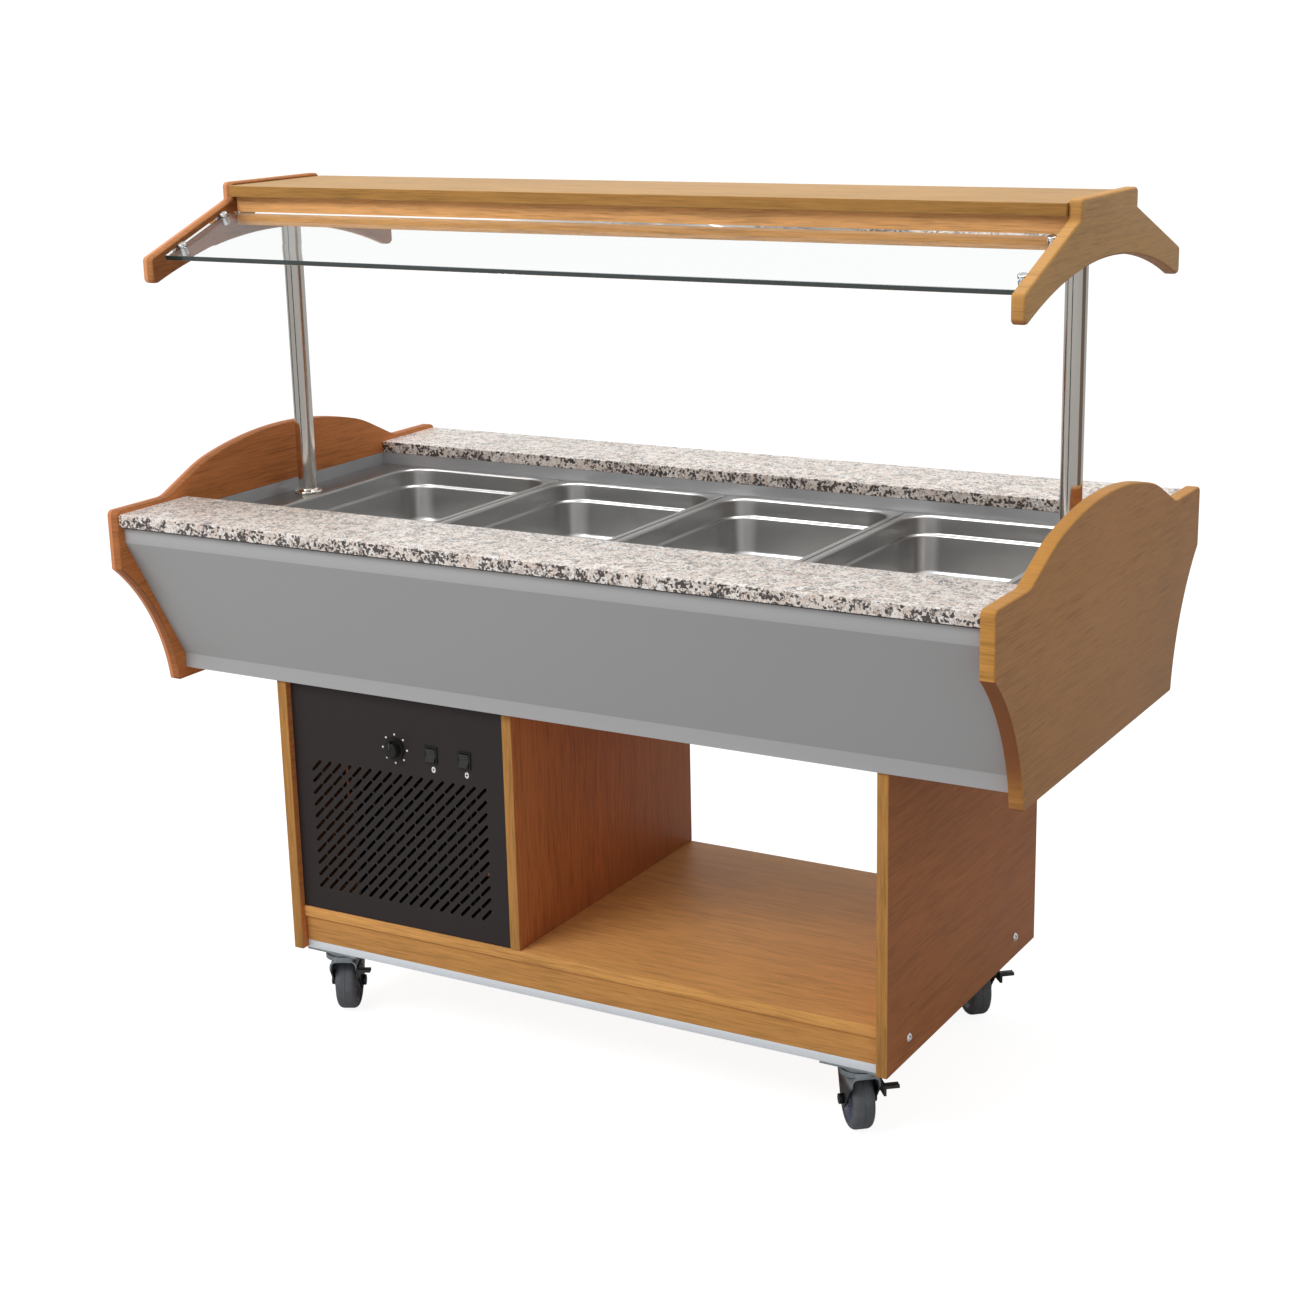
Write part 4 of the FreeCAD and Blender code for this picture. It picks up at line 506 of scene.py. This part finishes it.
def written(name, build, looks, sharp=35):
    """A mesh object from a bmesh, smooth shaded but for creases over the sharp angle."""
    data = bpy.data.meshes.new(name)
    build.to_mesh(data)
    build.free()
    data.shade_smooth()
    data.set_sharp_from_angle(angle=math.radians(sharp))
    return object_from(name, data, looks)


def evaluated_mesh(piece):
    """A piece's mesh as its modifiers leave it."""
    graph = bpy.context.evaluated_depsgraph_get()
    return bpy.data.meshes.new_from_object(piece.evaluated_get(graph))


def cad_copy(node):
    """A node's shape with its flat faces whole again."""
    build = bmesh.new()
    build.from_mesh(frame["nodes"][node].data)
    bmesh.ops.remove_doubles(build, verts=build.verts, dist=0.00002)
    bmesh.ops.dissolve_limit(build, angle_limit=math.radians(0.6), verts=build.verts,
                             edges=build.edges)
    return build


def dressed(node, looks, width, pick=None, segments=3, crease=40, late=False):
    """A node's own shape with its sharp edges rounded. pick(face) gives each face's look number
    before the rounding or, if late, after it, when the rounded arrises have faces too."""
    build = cad_copy(node)
    corners = [edge for edge in build.edges if len(edge.link_faces) == 2
               and math.degrees(edge.calc_face_angle(0)) > crease]
    if pick and not late:
        for face in build.faces:
            face.material_index = pick(face)
    bmesh.ops.bevel(build, geom=corners, offset=width, offset_type="OFFSET", segments=segments,
                    profile=0.5, affect="EDGES", clamp_overlap=True, material=-1)
    if late:
        build.normal_update()
        for face in build.faces:
            face.material_index = pick(face)
    settle(written(node + "_finished", build, looks, 30), node)


def lathe(name, profile, centre, axis, look, steps=96):
    """A turned ring: its closed profile is of pairs (along the axis, radius) and ends where it
    starts."""
    build = bmesh.new()
    turn = {"x": Matrix.Rotation(math.radians(90), 4, "Y"), "z": Matrix.Identity(4)}[axis]
    angles = [2 * math.pi * k / steps for k in range(steps)]
    rings = [[build.verts.new((radius * math.cos(angle), radius * math.sin(angle), along))
              for angle in angles] for along, radius in profile[:-1]]
    for low, high in zip(rings, rings[1:] + rings[:1]):
        for k in range(steps):
            after = (k + 1) % steps
            build.faces.new((low[k], low[after], high[after], high[k]))
    bmesh.ops.recalc_face_normals(build, faces=build.faces)
    build.transform(Matrix.Translation(centre) @ turn)
    return written(name, build, [look], 32)


def rounded_ring(half_x, half_y, radius, steps):
    """Points round a rectangle with round corners, each corner in so many steps."""
    points = []
    for quarter, (sx, sy) in enumerate(((1, 1), (-1, 1), (-1, -1), (1, -1))):
        for k in range(steps + 1):
            angle = math.radians(90 * quarter + 90 * k / steps)
            points.append((sx * (half_x - radius) + radius * math.cos(angle),
                           sy * (half_y - radius) + radius * math.sin(angle)))
    return points


def arc(centre, radius, first, last, steps):
    """Points of a profile's arc, angles in degrees."""
    return [(centre[0] + radius * math.cos(math.radians(first + (last - first) * k / steps)),
             centre[1] + radius * math.sin(math.radians(first + (last - first) * k / steps)))
            for k in range(steps + 1)]


# ---- wooden boards -----------------------------------------------------------------------------

def board_faces(flat):
    """Look numbers for an upright board across X: 0 on the face away from the middle, 1 on the
    face towards it and 2 on the edge band, which is all that leans more than flat allows."""
    def pick(face):
        if abs(face.normal.x) < flat:
            return 2
        return 0 if face.normal.x * face.calc_center_median().x > 0 else 1
    return pick


def lying_faces(flat):
    """Look numbers for a lying board: 0 on top and below, 1 on the edge band."""
    return lambda face: int(abs(face.normal.z) < flat)


PLAIN_SIDE, WRAPPED_SIDE = board_faces(0.9), board_faces(0.985)
for side, edge, wing_edge in (("left", "shaded_edge", "shaded_wing_edge"),
                              ("right", "cheek_edge", "wing_edge")):
    dressed(side + "_cheek", ["cheek_outer", "cheek_inner", edge], 5 * MM, WRAPPED_SIDE,
            segments=5, crease=30, late=True)
    dressed(side + "_bracket", ["wing", "wing_inner", wing_edge], 4 * MM, WRAPPED_SIDE,
            segments=5, crease=30, late=True)
for side in ("left_side", "right_side"):
    dressed(side, ["side_outer", side + "_inner", "edge"], 1.6 * MM, PLAIN_SIDE)
# the divider's face towards the machine bay takes painted shade
dressed("divider", ["painted_bay_shade", "divider", "edge"], 1.2 * MM, PLAIN_SIDE)
dressed("shelf", ["shelf", "shelf_edge"], 1.4 * MM, lying_faces(0.9))
dressed("top_board", ["board_top", "board_edge"], 1.0 * MM, lying_faces(0.5))
dressed("valances", ["valance"], 1.2 * MM)
dressed("base_frame", ["rail"], 1.0 * MM)

# ---- granite, fascias and trim -----------------------------------------------------------------

for ledge in ("front_granite", "rear_granite"):
    dressed(ledge, ["granite"], 1.2 * MM)
for sheet in ("front_fascia", "rear_fascia"):
    dressed(sheet, ["fascia"], 0.5 * MM, segments=2)
dressed("plinth_strips", ["aluminium"], 0.6 * MM, segments=2)

# ---- glass -------------------------------------------------------------------------------------

for pane, outward in (("front_glass", -1), ("rear_glass", 1)):
    build = cad_copy(pane)
    for face in build.faces:
        face.material_index = int(face.normal.y * outward > 0.8)   # the low outer edge
    settle(written(pane + "_finished", build, ["glass", "glass_edge"], 20), pane)


# ---- food pans ---------------------------------------------------------------------------------

PAN_SHEET, PAN_SKIN = 0.9 * MM, 0.8 * MM
PAN_RIM, PAN_LIP = 7.9 * MM, 4 * MM                      # the rim's width and its bend
RIM_CORNER, WALL_CORNER, FLOOR_CORNER = 16 * MM, 55.1 * MM, 8 * MM
SHOULDER_TOP, SHOULDER_HOLLOW = -27.5 * MM, 3 * MM       # level and radius of the upper bend
SHOULDER_FOOT, SHOULDER_ROUND = -33.5 * MM, 3.5 * MM     # and of the lower one
LOWER_WALL, LOWER_TOP, MIDWAY = 15.4 * MM, -36 * MM, 20 * MM
TAPER, FOOT_BEND = math.tan(math.radians(3)), 13.1 * MM


def food_pan(node):
    """Pressed pan: flat rim, rolled lip, upper wall, stacking shoulder, tapered wall and round
    foot, as a profile of (inset, level) pairs under the rim that is swept round the pan."""
    low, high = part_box(node)
    centre = (low + high) / 2
    half_x, half_y = (high.x - low.x) / 2, (high.y - low.y) / 2
    top = high.z
    depth = high.z - low.z - PAN_SHEET
    upper_wall = PAN_RIM + PAN_LIP
    profile = [(0, -0.6 * MM), (0.5 * MM, 0), (4 * MM, 0)]
    profile += arc((PAN_RIM, -PAN_LIP), PAN_LIP, 90, 0, 6)
    profile += [(upper_wall, -20 * MM)]
    profile += arc((upper_wall + SHOULDER_HOLLOW, SHOULDER_TOP), SHOULDER_HOLLOW, 180, 245, 4)
    profile += arc((upper_wall, SHOULDER_FOOT), SHOULDER_ROUND, 62, 0, 4)
    wall = LOWER_WALL + (depth - FOOT_BEND + LOWER_TOP) * TAPER
    profile += [(LOWER_WALL + MIDWAY * TAPER, LOWER_TOP - MIDWAY)]
    profile += arc((wall + FOOT_BEND, -depth + FOOT_BEND), FOOT_BEND, 180, 270, 8)
    profile += [(wall + FOOT_BEND + 30 * MM, -depth), (wall + FOOT_BEND + 70 * MM, -depth)]
    build = bmesh.new()
    rings = []
    for inset, level in profile:
        radius = RIM_CORNER + (WALL_CORNER - RIM_CORNER) * min(inset / PAN_RIM, 1)
        if inset > PAN_RIM:
            radius = max(WALL_CORNER - (inset - PAN_RIM), FLOOR_CORNER)
        ring = rounded_ring(half_x - inset, half_y - inset, radius, 12)
        rings.append([build.verts.new((centre.x + x, centre.y + y, top + level))
                      for x, y in ring])
    count = len(rings[0])
    for outer, inner in zip(rings, rings[1:]):
        for k in range(count):
            after = (k + 1) % count
            build.faces.new((outer[k], outer[after], inner[after], inner[k]))
    build.faces.new(rings[-1])
    bmesh.ops.recalc_face_normals(build, faces=build.faces)
    if build.faces[-1].normal.z < 0:
        bmesh.ops.reverse_faces(build, faces=build.faces)
    data = bpy.data.meshes.new(node + "_finished")
    build.to_mesh(data)
    build.free()
    piece = object_from(node + "_finished", data, ["pan_steel"])
    skin = piece.modifiers.new("skin", "SOLIDIFY")
    skin.thickness, skin.offset = PAN_SKIN, -1
    solid = evaluated_mesh(piece)
    piece.modifiers.remove(skin)
    piece.data = solid
    solid.shade_smooth()
    solid.set_sharp_from_angle(angle=math.radians(50))
    settle(piece, node)


for number in range(1, 5):
    food_pan("pan_%d" % number)

# ---- posts -------------------------------------------------------------------------------------

POST_BORE, POST_TUBE = 14.5 * MM, 16 * MM
FLANGE, FLANGE_ROUND, FLANGE_COVE = 5 * MM, 2.5 * MM, 4 * MM


def turned_arc(radius, level, bend, first, last, steps=5):
    """An arc of a turned profile about the point at that radius and level."""
    return [(along, out) for out, along in arc((radius, level), bend, first, last, steps)]


def post_tube(node):
    """Tube with a flange at each end, rounded at its rim and coved into the tube."""
    low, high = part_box(node)
    foot, head, ring = low.z, high.z, (high.x - low.x) / 2
    rim, cove = ring - FLANGE_ROUND, POST_TUBE + FLANGE_COVE
    turned = [(foot, POST_BORE), (foot, ring - 0.4 * MM)]
    turned += turned_arc(rim, foot + FLANGE_ROUND, FLANGE_ROUND, -10, 80)
    turned += [(foot + FLANGE, cove)]
    turned += turned_arc(cove, foot + FLANGE + FLANGE_COVE, FLANGE_COVE, 270, 180)
    turned += turned_arc(cove, head - FLANGE - FLANGE_COVE, FLANGE_COVE, 180, 90)
    turned += turned_arc(rim, head - FLANGE_ROUND, FLANGE_ROUND, -80, 10)
    turned += [(head, ring - 0.4 * MM), (head, POST_BORE), (foot, POST_BORE)]
    centre = ((low.x + high.x) / 2, (low.y + high.y) / 2, 0)
    settle(lathe(node + "_finished", turned, centre, "z", "post_steel"), node)


for post in ("left_post", "right_post"):
    post_tube(post)

# ---- castors -----------------------------------------------------------------------------------

CORNERS = {"front_left": (-0.473, -0.243, 27), "front_right": (0.473, -0.243, 40),
           "rear_left": (-0.473, 0.212, 35), "rear_right": (0.473, 0.212, 41)}
WHEEL_HALF, WHEEL_RADIUS, TRAIL = 17 * MM, 47.5 * MM, 18 * MM
HUB_RADIUS, HUB_BORE, HUB_BOSS, HUB_DISH = 35 * MM, 6 * MM, 13 * MM, 8 * MM
TYRE_ROUND, SEAM_HALF, SEAM_DEPTH = 9 * MM, 0.6 * MM, 0.5 * MM


def castor_wheel(corner, x, y, turn):
    """Rubber tyre with round shoulders and a mould line, on a hub dished round its boss. x, y
    and turn (in degrees) place the fork's pivot, and the axle trails it."""
    half, tread = WHEEL_HALF, WHEEL_RADIUS - TYRE_ROUND
    bead, side = (half - 2 * MM, HUB_RADIUS), (half, HUB_RADIUS + 4 * MM)
    tyre = [(-bead[0], bead[1]), (-side[0], side[1])]
    tyre += turned_arc(tread, -half + TYRE_ROUND, TYRE_ROUND, 250, 360, 8)
    tyre += [(-SEAM_HALF, WHEEL_RADIUS), (-SEAM_HALF / 2, WHEEL_RADIUS - SEAM_DEPTH),
             (SEAM_HALF / 2, WHEEL_RADIUS - SEAM_DEPTH), (SEAM_HALF, WHEEL_RADIUS)]
    tyre += turned_arc(tread, half - TYRE_ROUND, TYRE_ROUND, 0, 110, 8)
    tyre += [side, bead, (-bead[0], bead[1])]
    hollow = half - HUB_DISH
    hub = [(half, HUB_BORE), (half, HUB_BOSS), (hollow, HUB_BOSS + 2 * MM),
           (hollow, HUB_RADIUS - 5 * MM), bead]
    hub = [(-along, radius) for along, radius in hub] + hub[::-1] + [(-half, HUB_BORE)]
    angle = math.radians(turn)
    centre = Vector((x - TRAIL * math.sin(angle), y + TRAIL * math.cos(angle), WHEEL_RADIUS))
    pieces = [lathe(corner + "_tyre", tyre, (0, 0, 0), "x", "tyre", 72),
              lathe(corner + "_wheel_hub", hub, (0, 0, 0), "x", "hub", 48)]
    for piece in pieces:
        piece.data.transform(Matrix.Translation(centre) @ Matrix.Rotation(angle, 4, "Z"))
    settle(pieces[0], corner + "_wheel")
    add_on(pieces[1], corner + "_wheel")


for corner, (x, y, turn) in CORNERS.items():
    castor_wheel(corner, x, y, turn)
    dressed(corner + "_fork", ["fork"], 0.6 * MM, segments=2)
    dressed(corner + "_pedal", ["pedal"], 1.2 * MM)
dressed("castor_plates", ["zinc"], 0.6 * MM, segments=2)


# ---- controls ----------------------------------------------------------------------------------

def ring_of_dots(count, ring, dot, depth):
    """Geometry Nodes: flat dots set evenly round a dial, in the XY plane."""
    tree = bpy.data.node_groups.new("dial_dots", "GeometryNodeTree")
    tree.interface.new_socket("Geometry", in_out="OUTPUT", socket_type="NodeSocketGeometry")
    for name, kind in (("Count", "NodeSocketInt"), ("Ring", "NodeSocketFloat"),
                       ("Dot", "NodeSocketFloat"), ("Depth", "NodeSocketFloat")):
        tree.interface.new_socket(name, in_out="INPUT", socket_type=kind)
    given = tree.nodes.new("NodeGroupInput")
    circle = tree.nodes.new("GeometryNodeMeshCircle")
    disc = tree.nodes.new("GeometryNodeMeshCylinder")
    spread = tree.nodes.new("GeometryNodeInstanceOnPoints")
    real = tree.nodes.new("GeometryNodeRealizeInstances")
    colour = tree.nodes.new("GeometryNodeSetMaterial")
    result = tree.nodes.new("NodeGroupOutput")
    disc.inputs["Vertices"].default_value = 20
    colour.inputs["Material"].default_value = LOOKS["white_mark"]
    link = tree.links.new
    link(given.outputs["Count"], circle.inputs["Vertices"])
    link(given.outputs["Ring"], circle.inputs["Radius"])
    link(given.outputs["Dot"], disc.inputs["Radius"])
    link(given.outputs["Depth"], disc.inputs["Depth"])
    link(circle.outputs["Mesh"], spread.inputs["Points"])
    link(disc.outputs["Mesh"], spread.inputs["Instance"])
    link(spread.outputs["Instances"], real.inputs["Geometry"])
    link(real.outputs["Geometry"], colour.inputs["Geometry"])
    link(colour.outputs["Geometry"], result.inputs["Geometry"])
    base = bpy.data.objects.new("dial_base", bpy.data.meshes.new("dial_base"))
    bpy.context.collection.objects.link(base)
    maker = base.modifiers.new("dots", "NODES")
    maker.node_group = tree
    sizes = {"Count": count, "Ring": ring, "Dot": dot, "Depth": depth}
    for item in tree.interface.items_tree:
        if item.in_out == "INPUT":
            maker[item.identifier] = sizes[item.name]
    dots = evaluated_mesh(base)
    bpy.data.objects.remove(base)
    return dots


PANEL_Y = -0.283
KNOB = Vector((-0.3175, PANEL_Y, 0.4965))
DOTS_PROUD, KNOB_GAP = Vector((0, -0.1 * MM, 0)), Vector((0, -0.4 * MM, 0))
dots = ring_of_dots(count=8, ring=23.5 * MM, dot=1.7 * MM, depth=0.5 * MM)
dots.transform(Matrix.Translation(KNOB + DOTS_PROUD) @ QUARTER_X)
dial = bpy.data.objects.new("dial_dots", dots)
bpy.context.collection.objects.link(dial)
add_on(dial, "front_grille")

KNOB_RADIUS, KNOB_STEPS, FLUTES, FLUTE_DEPTH = 18 * MM, 96, 18, 0.045
# how far out from the panel, in mm, the share of the radius there, and how much it is fluted
KNOB_LEVELS = ((0, 1.0, 0), (2.2, 1.0, 0), (3, 0.97, 0), (3, 0.80, 1), (12.5, 0.72, 1),
               (14.2, 0.69, 1), (14.9, 0.62, 0.3), (14.9, 0.3, 0), (14.9, 0.0, 0))


def add_block(build, centre, size):
    """A block in a bmesh, its centre and size in mm."""
    return bmesh.ops.create_cube(build, size=1, matrix=Matrix.Translation(Vector(centre) * MM)
                                 @ Matrix.Diagonal((Vector(size) * MM).to_4d()))


def thermostat_knob():
    """Fluted knob on a skirt, with a raised pointer and its worn line."""
    build = bmesh.new()
    steps = KNOB_STEPS
    outline = [2 * math.pi * k / steps for k in range(steps)]
    rings = []
    for out, share, flute in KNOB_LEVELS:
        along = out * MM
        if share == 0:
            rings.append([build.verts.new((0, -along, 0))])
            continue
        ring = []
        for angle in outline:
            hollow = FLUTE_DEPTH * flute * (0.5 - 0.5 * math.cos(FLUTES * angle))
            radius = KNOB_RADIUS * share * (1 - hollow)
            ring.append(build.verts.new((radius * math.cos(angle), -along,
                                         radius * math.sin(angle))))
        rings.append(ring)
    for low, high in zip(rings, rings[1:]):
        for k in range(steps):
            after = (k + 1) % steps
            loop = [low[k], low[after], high[after % len(high)], high[k % len(high)]]
            build.faces.new(list(dict.fromkeys(loop)))
    build.faces.new(rings[0])
    add_block(build, (0, -9.8, 6.8), (2.6, 11.2, 15.2))
    line = add_block(build, (0, -15.5, 8.0), (1.0, 0.4, 11.0))
    bmesh.ops.recalc_face_normals(build, faces=build.faces)
    for vert in line["verts"]:
        for face in vert.link_faces:
            face.material_index = 1
    build.transform(Matrix.Translation(KNOB + KNOB_GAP))
    return written("thermostat_knob_finished", build, ["black_plastic", "grey_mark"], 40)


settle(thermostat_knob(), "thermostat_knob")
for switch in ("cooling_switch", "light_switch"):
    dressed(switch, ["gloss_black"], 0.5 * MM, crease=25)
dressed("switch_bezels", ["black_plastic"], 0.5 * MM, segments=2)

MARK_HALF_X, MARK_HALF_Z, MARK_SHEET, STROKE_PROUD = 3.7 * MM, 5.0 * MM, 0.15 * MM, 0.12 * MM
MARKS_Z = 0.472


def flat_mark(name, x, strokes):
    """A small generic sign under a switch: a white oval with dark strokes, each given by its
    length and width in mm and its turn in degrees."""
    build = bmesh.new()
    bmesh.ops.create_circle(build, cap_ends=True, radius=1, segments=40,
                            matrix=Matrix.Diagonal((MARK_HALF_X, MARK_HALF_Z, 1, 1)))
    for length, width, turn in strokes:
        place = (Matrix.Translation((0, 0, STROKE_PROUD))
                 @ Matrix.Rotation(math.radians(turn), 4, "Z")
                 @ Matrix.Diagonal((length * MM, width * MM, 1, 1)))
        made = bmesh.ops.create_grid(build, x_segments=1, y_segments=1, size=0.5, matrix=place)
        for vert in made["verts"]:
            for face in vert.link_faces:
                face.material_index = 1
    lifted = bmesh.ops.extrude_face_region(build, geom=build.faces[:])
    for item in lifted["geom"]:
        if isinstance(item, bmesh.types.BMVert):
            item.co.z += MARK_SHEET
    bmesh.ops.recalc_face_normals(build, faces=build.faces)
    build.transform(Matrix.Translation((x, PANEL_Y, MARKS_Z)) @ QUARTER_X)
    add_on(written(name, build, ["white_mark", "black_plastic"]), "front_grille")


flat_mark("cooling_mark", -0.2445, [(6.4, 0.7, 90), (5.0, 0.7, 30), (5.0, 0.7, 150)])
flat_mark("light_mark", -0.1815, [(3.0, 3.0, 45), (6.4, 0.6, 0), (8.0, 0.6, 90)])

# ---- CAD nodes that keep their own mesh --------------------------------------------------------

KEPT = {
    "granite_seals": "seal", "well_liner": "deck_steel", "pan_bars": "deck_steel",
    "insulation_foam": "foam", "floor_board": "floor_panel", "drain_pipe": "drain",
    "lamp_fitting": "lamp_white", "lamp": "lamp_tube", "glass_standoffs": "chrome",
    "cover_caps": "chrome", "front_grille": "grille", "rear_grille": "grille",
    "control_box": "black_plastic", "condenser": "fin", "fan_shroud": "machine_black",
    "fan_motor": "machine_black", "fan_rotor": "fin", "compressor": "machine_black",
    "refrigerant_lines": "copper",
}
for node, look in KEPT.items():
    data = frame["nodes"][node].data
    data.materials.clear()
    data.materials.append(LOOKS[look])


# ---- studio ------------------------------------------------------------------------------------

WORLD_DIFFUSE, WORLD_GLOSSY, FLOOR_HALF, FLOOR_GLOW = 0.52, 0.34, 30, 0.90


def unlit_material(name):
    """A new material whose Principled shader is taken out."""
    made = bpy.data.materials.new(name)
    made.use_nodes = True
    made.node_tree.nodes.remove(made.node_tree.nodes["Principled BSDF"])
    return made, made.node_tree, made.node_tree.nodes["Material Output"].inputs["Surface"]


def set_world():
    """A surround that reads white, lights the part softly and shines a little more in
    reflections."""
    world = bpy.data.worlds.new("studio")
    world.use_nodes = True
    bpy.context.scene.world = world
    tree = world.node_tree
    value = Value(tree)
    rays = value.node("LightPath", {}, {}, "Is Camera Ray")
    through = value.node("LightPath", {}, {}, "Is Transmission Ray")
    shine = value.node("LightPath", {}, {}, "Is Glossy Ray")
    strength = value.math("MAXIMUM", value.math("MAXIMUM", rays, through),
                          shine * WORLD_GLOSSY + WORLD_DIFFUSE)
    background = tree.nodes["Background"]
    background.inputs["Color"].default_value = (1, 1, 1, 1)
    tree.links.new(strength.socket, background.inputs["Strength"])


def add_floor():
    """Pale floor that reads white and keeps a faint shadow."""
    data = bpy.data.meshes.new("floor")
    half = FLOOR_HALF
    data.from_pydata([(-half, -half, 0), (half, -half, 0), (half, half, 0), (-half, half, 0)], [],
                     [(0, 1, 2, 3)])
    floor = bpy.data.objects.new("floor", data)
    bpy.context.collection.objects.link(floor)
    made, tree, surface = unlit_material("floor_white")
    value = Value(tree)
    camera = value.node("LightPath", {}, {}, "Is Camera Ray")
    through = value.node("LightPath", {}, {}, "Is Transmission Ray")
    seen = value.math("MAXIMUM", camera, through)
    matt = value.node("BsdfDiffuse", {}, {"Color": (0.8, 0.8, 0.8, 1)})
    faint = value.node("BsdfDiffuse", {}, {"Color": (0.30, 0.30, 0.30, 1)})
    glow = value.node("Emission", {}, {"Color": (1, 1, 1, 1), "Strength": FLOOR_GLOW})
    bright = value.node("AddShader", {}, {0: faint, 1: glow})
    both = value.node("MixShader", {}, {0: seen, 1: matt, 2: bright})
    tree.links.new(both.socket, surface)
    data.materials.append(made)


def add_card(name, centre, width, height, tone):
    """A dull upright card that faces the part, seen only in reflections: it gives polished steel
    its dark streaks."""
    way = Vector((centre[0], centre[1], 0)).normalized()
    side = Vector((-way.y, way.x, 0)) * width / 2
    up = Vector((0, 0, height / 2))
    middle = Vector(centre)
    data = bpy.data.meshes.new(name)
    data.from_pydata([middle - side - up, middle + side - up, middle + side + up,
                      middle - side + up], [], [(0, 1, 2, 3)])
    card = bpy.data.objects.new(name, data)
    bpy.context.collection.objects.link(card)
    made, tree, surface = unlit_material(name)
    glow = Value(tree).node("Emission", {}, {"Color": tone, "Strength": 1.0})
    tree.links.new(glow.socket, surface)
    data.materials.append(made)
    card.visible_camera = card.visible_diffuse = card.visible_shadow = False
    card.visible_transmission = card.visible_volume_scatter = False


bpy.context.scene.view_settings.view_transform = "Standard"
set_camera()
set_world()
add_floor()
add_lamp("key", (-1.6, -3.4, 3.6), (0, 0, 0.8), (2.4, 1.6), 95)
add_lamp("overhead", (0.3, 0.6, 3.8), (0, 0, 0.8), (2.6, 0.9), 45)

add_card("dark_card", (-0.7, -4.2, 1.3), 0.7, 4.0, srgb(34, 32, 32))
add_card("brown_card", (4.4, 0.9, 1.3), 3.2, 4.0, srgb(112, 98, 88))
add_card("grey_card", (-4.4, -1.2, 1.3), 1.2, 4.0, srgb(96, 96, 98))
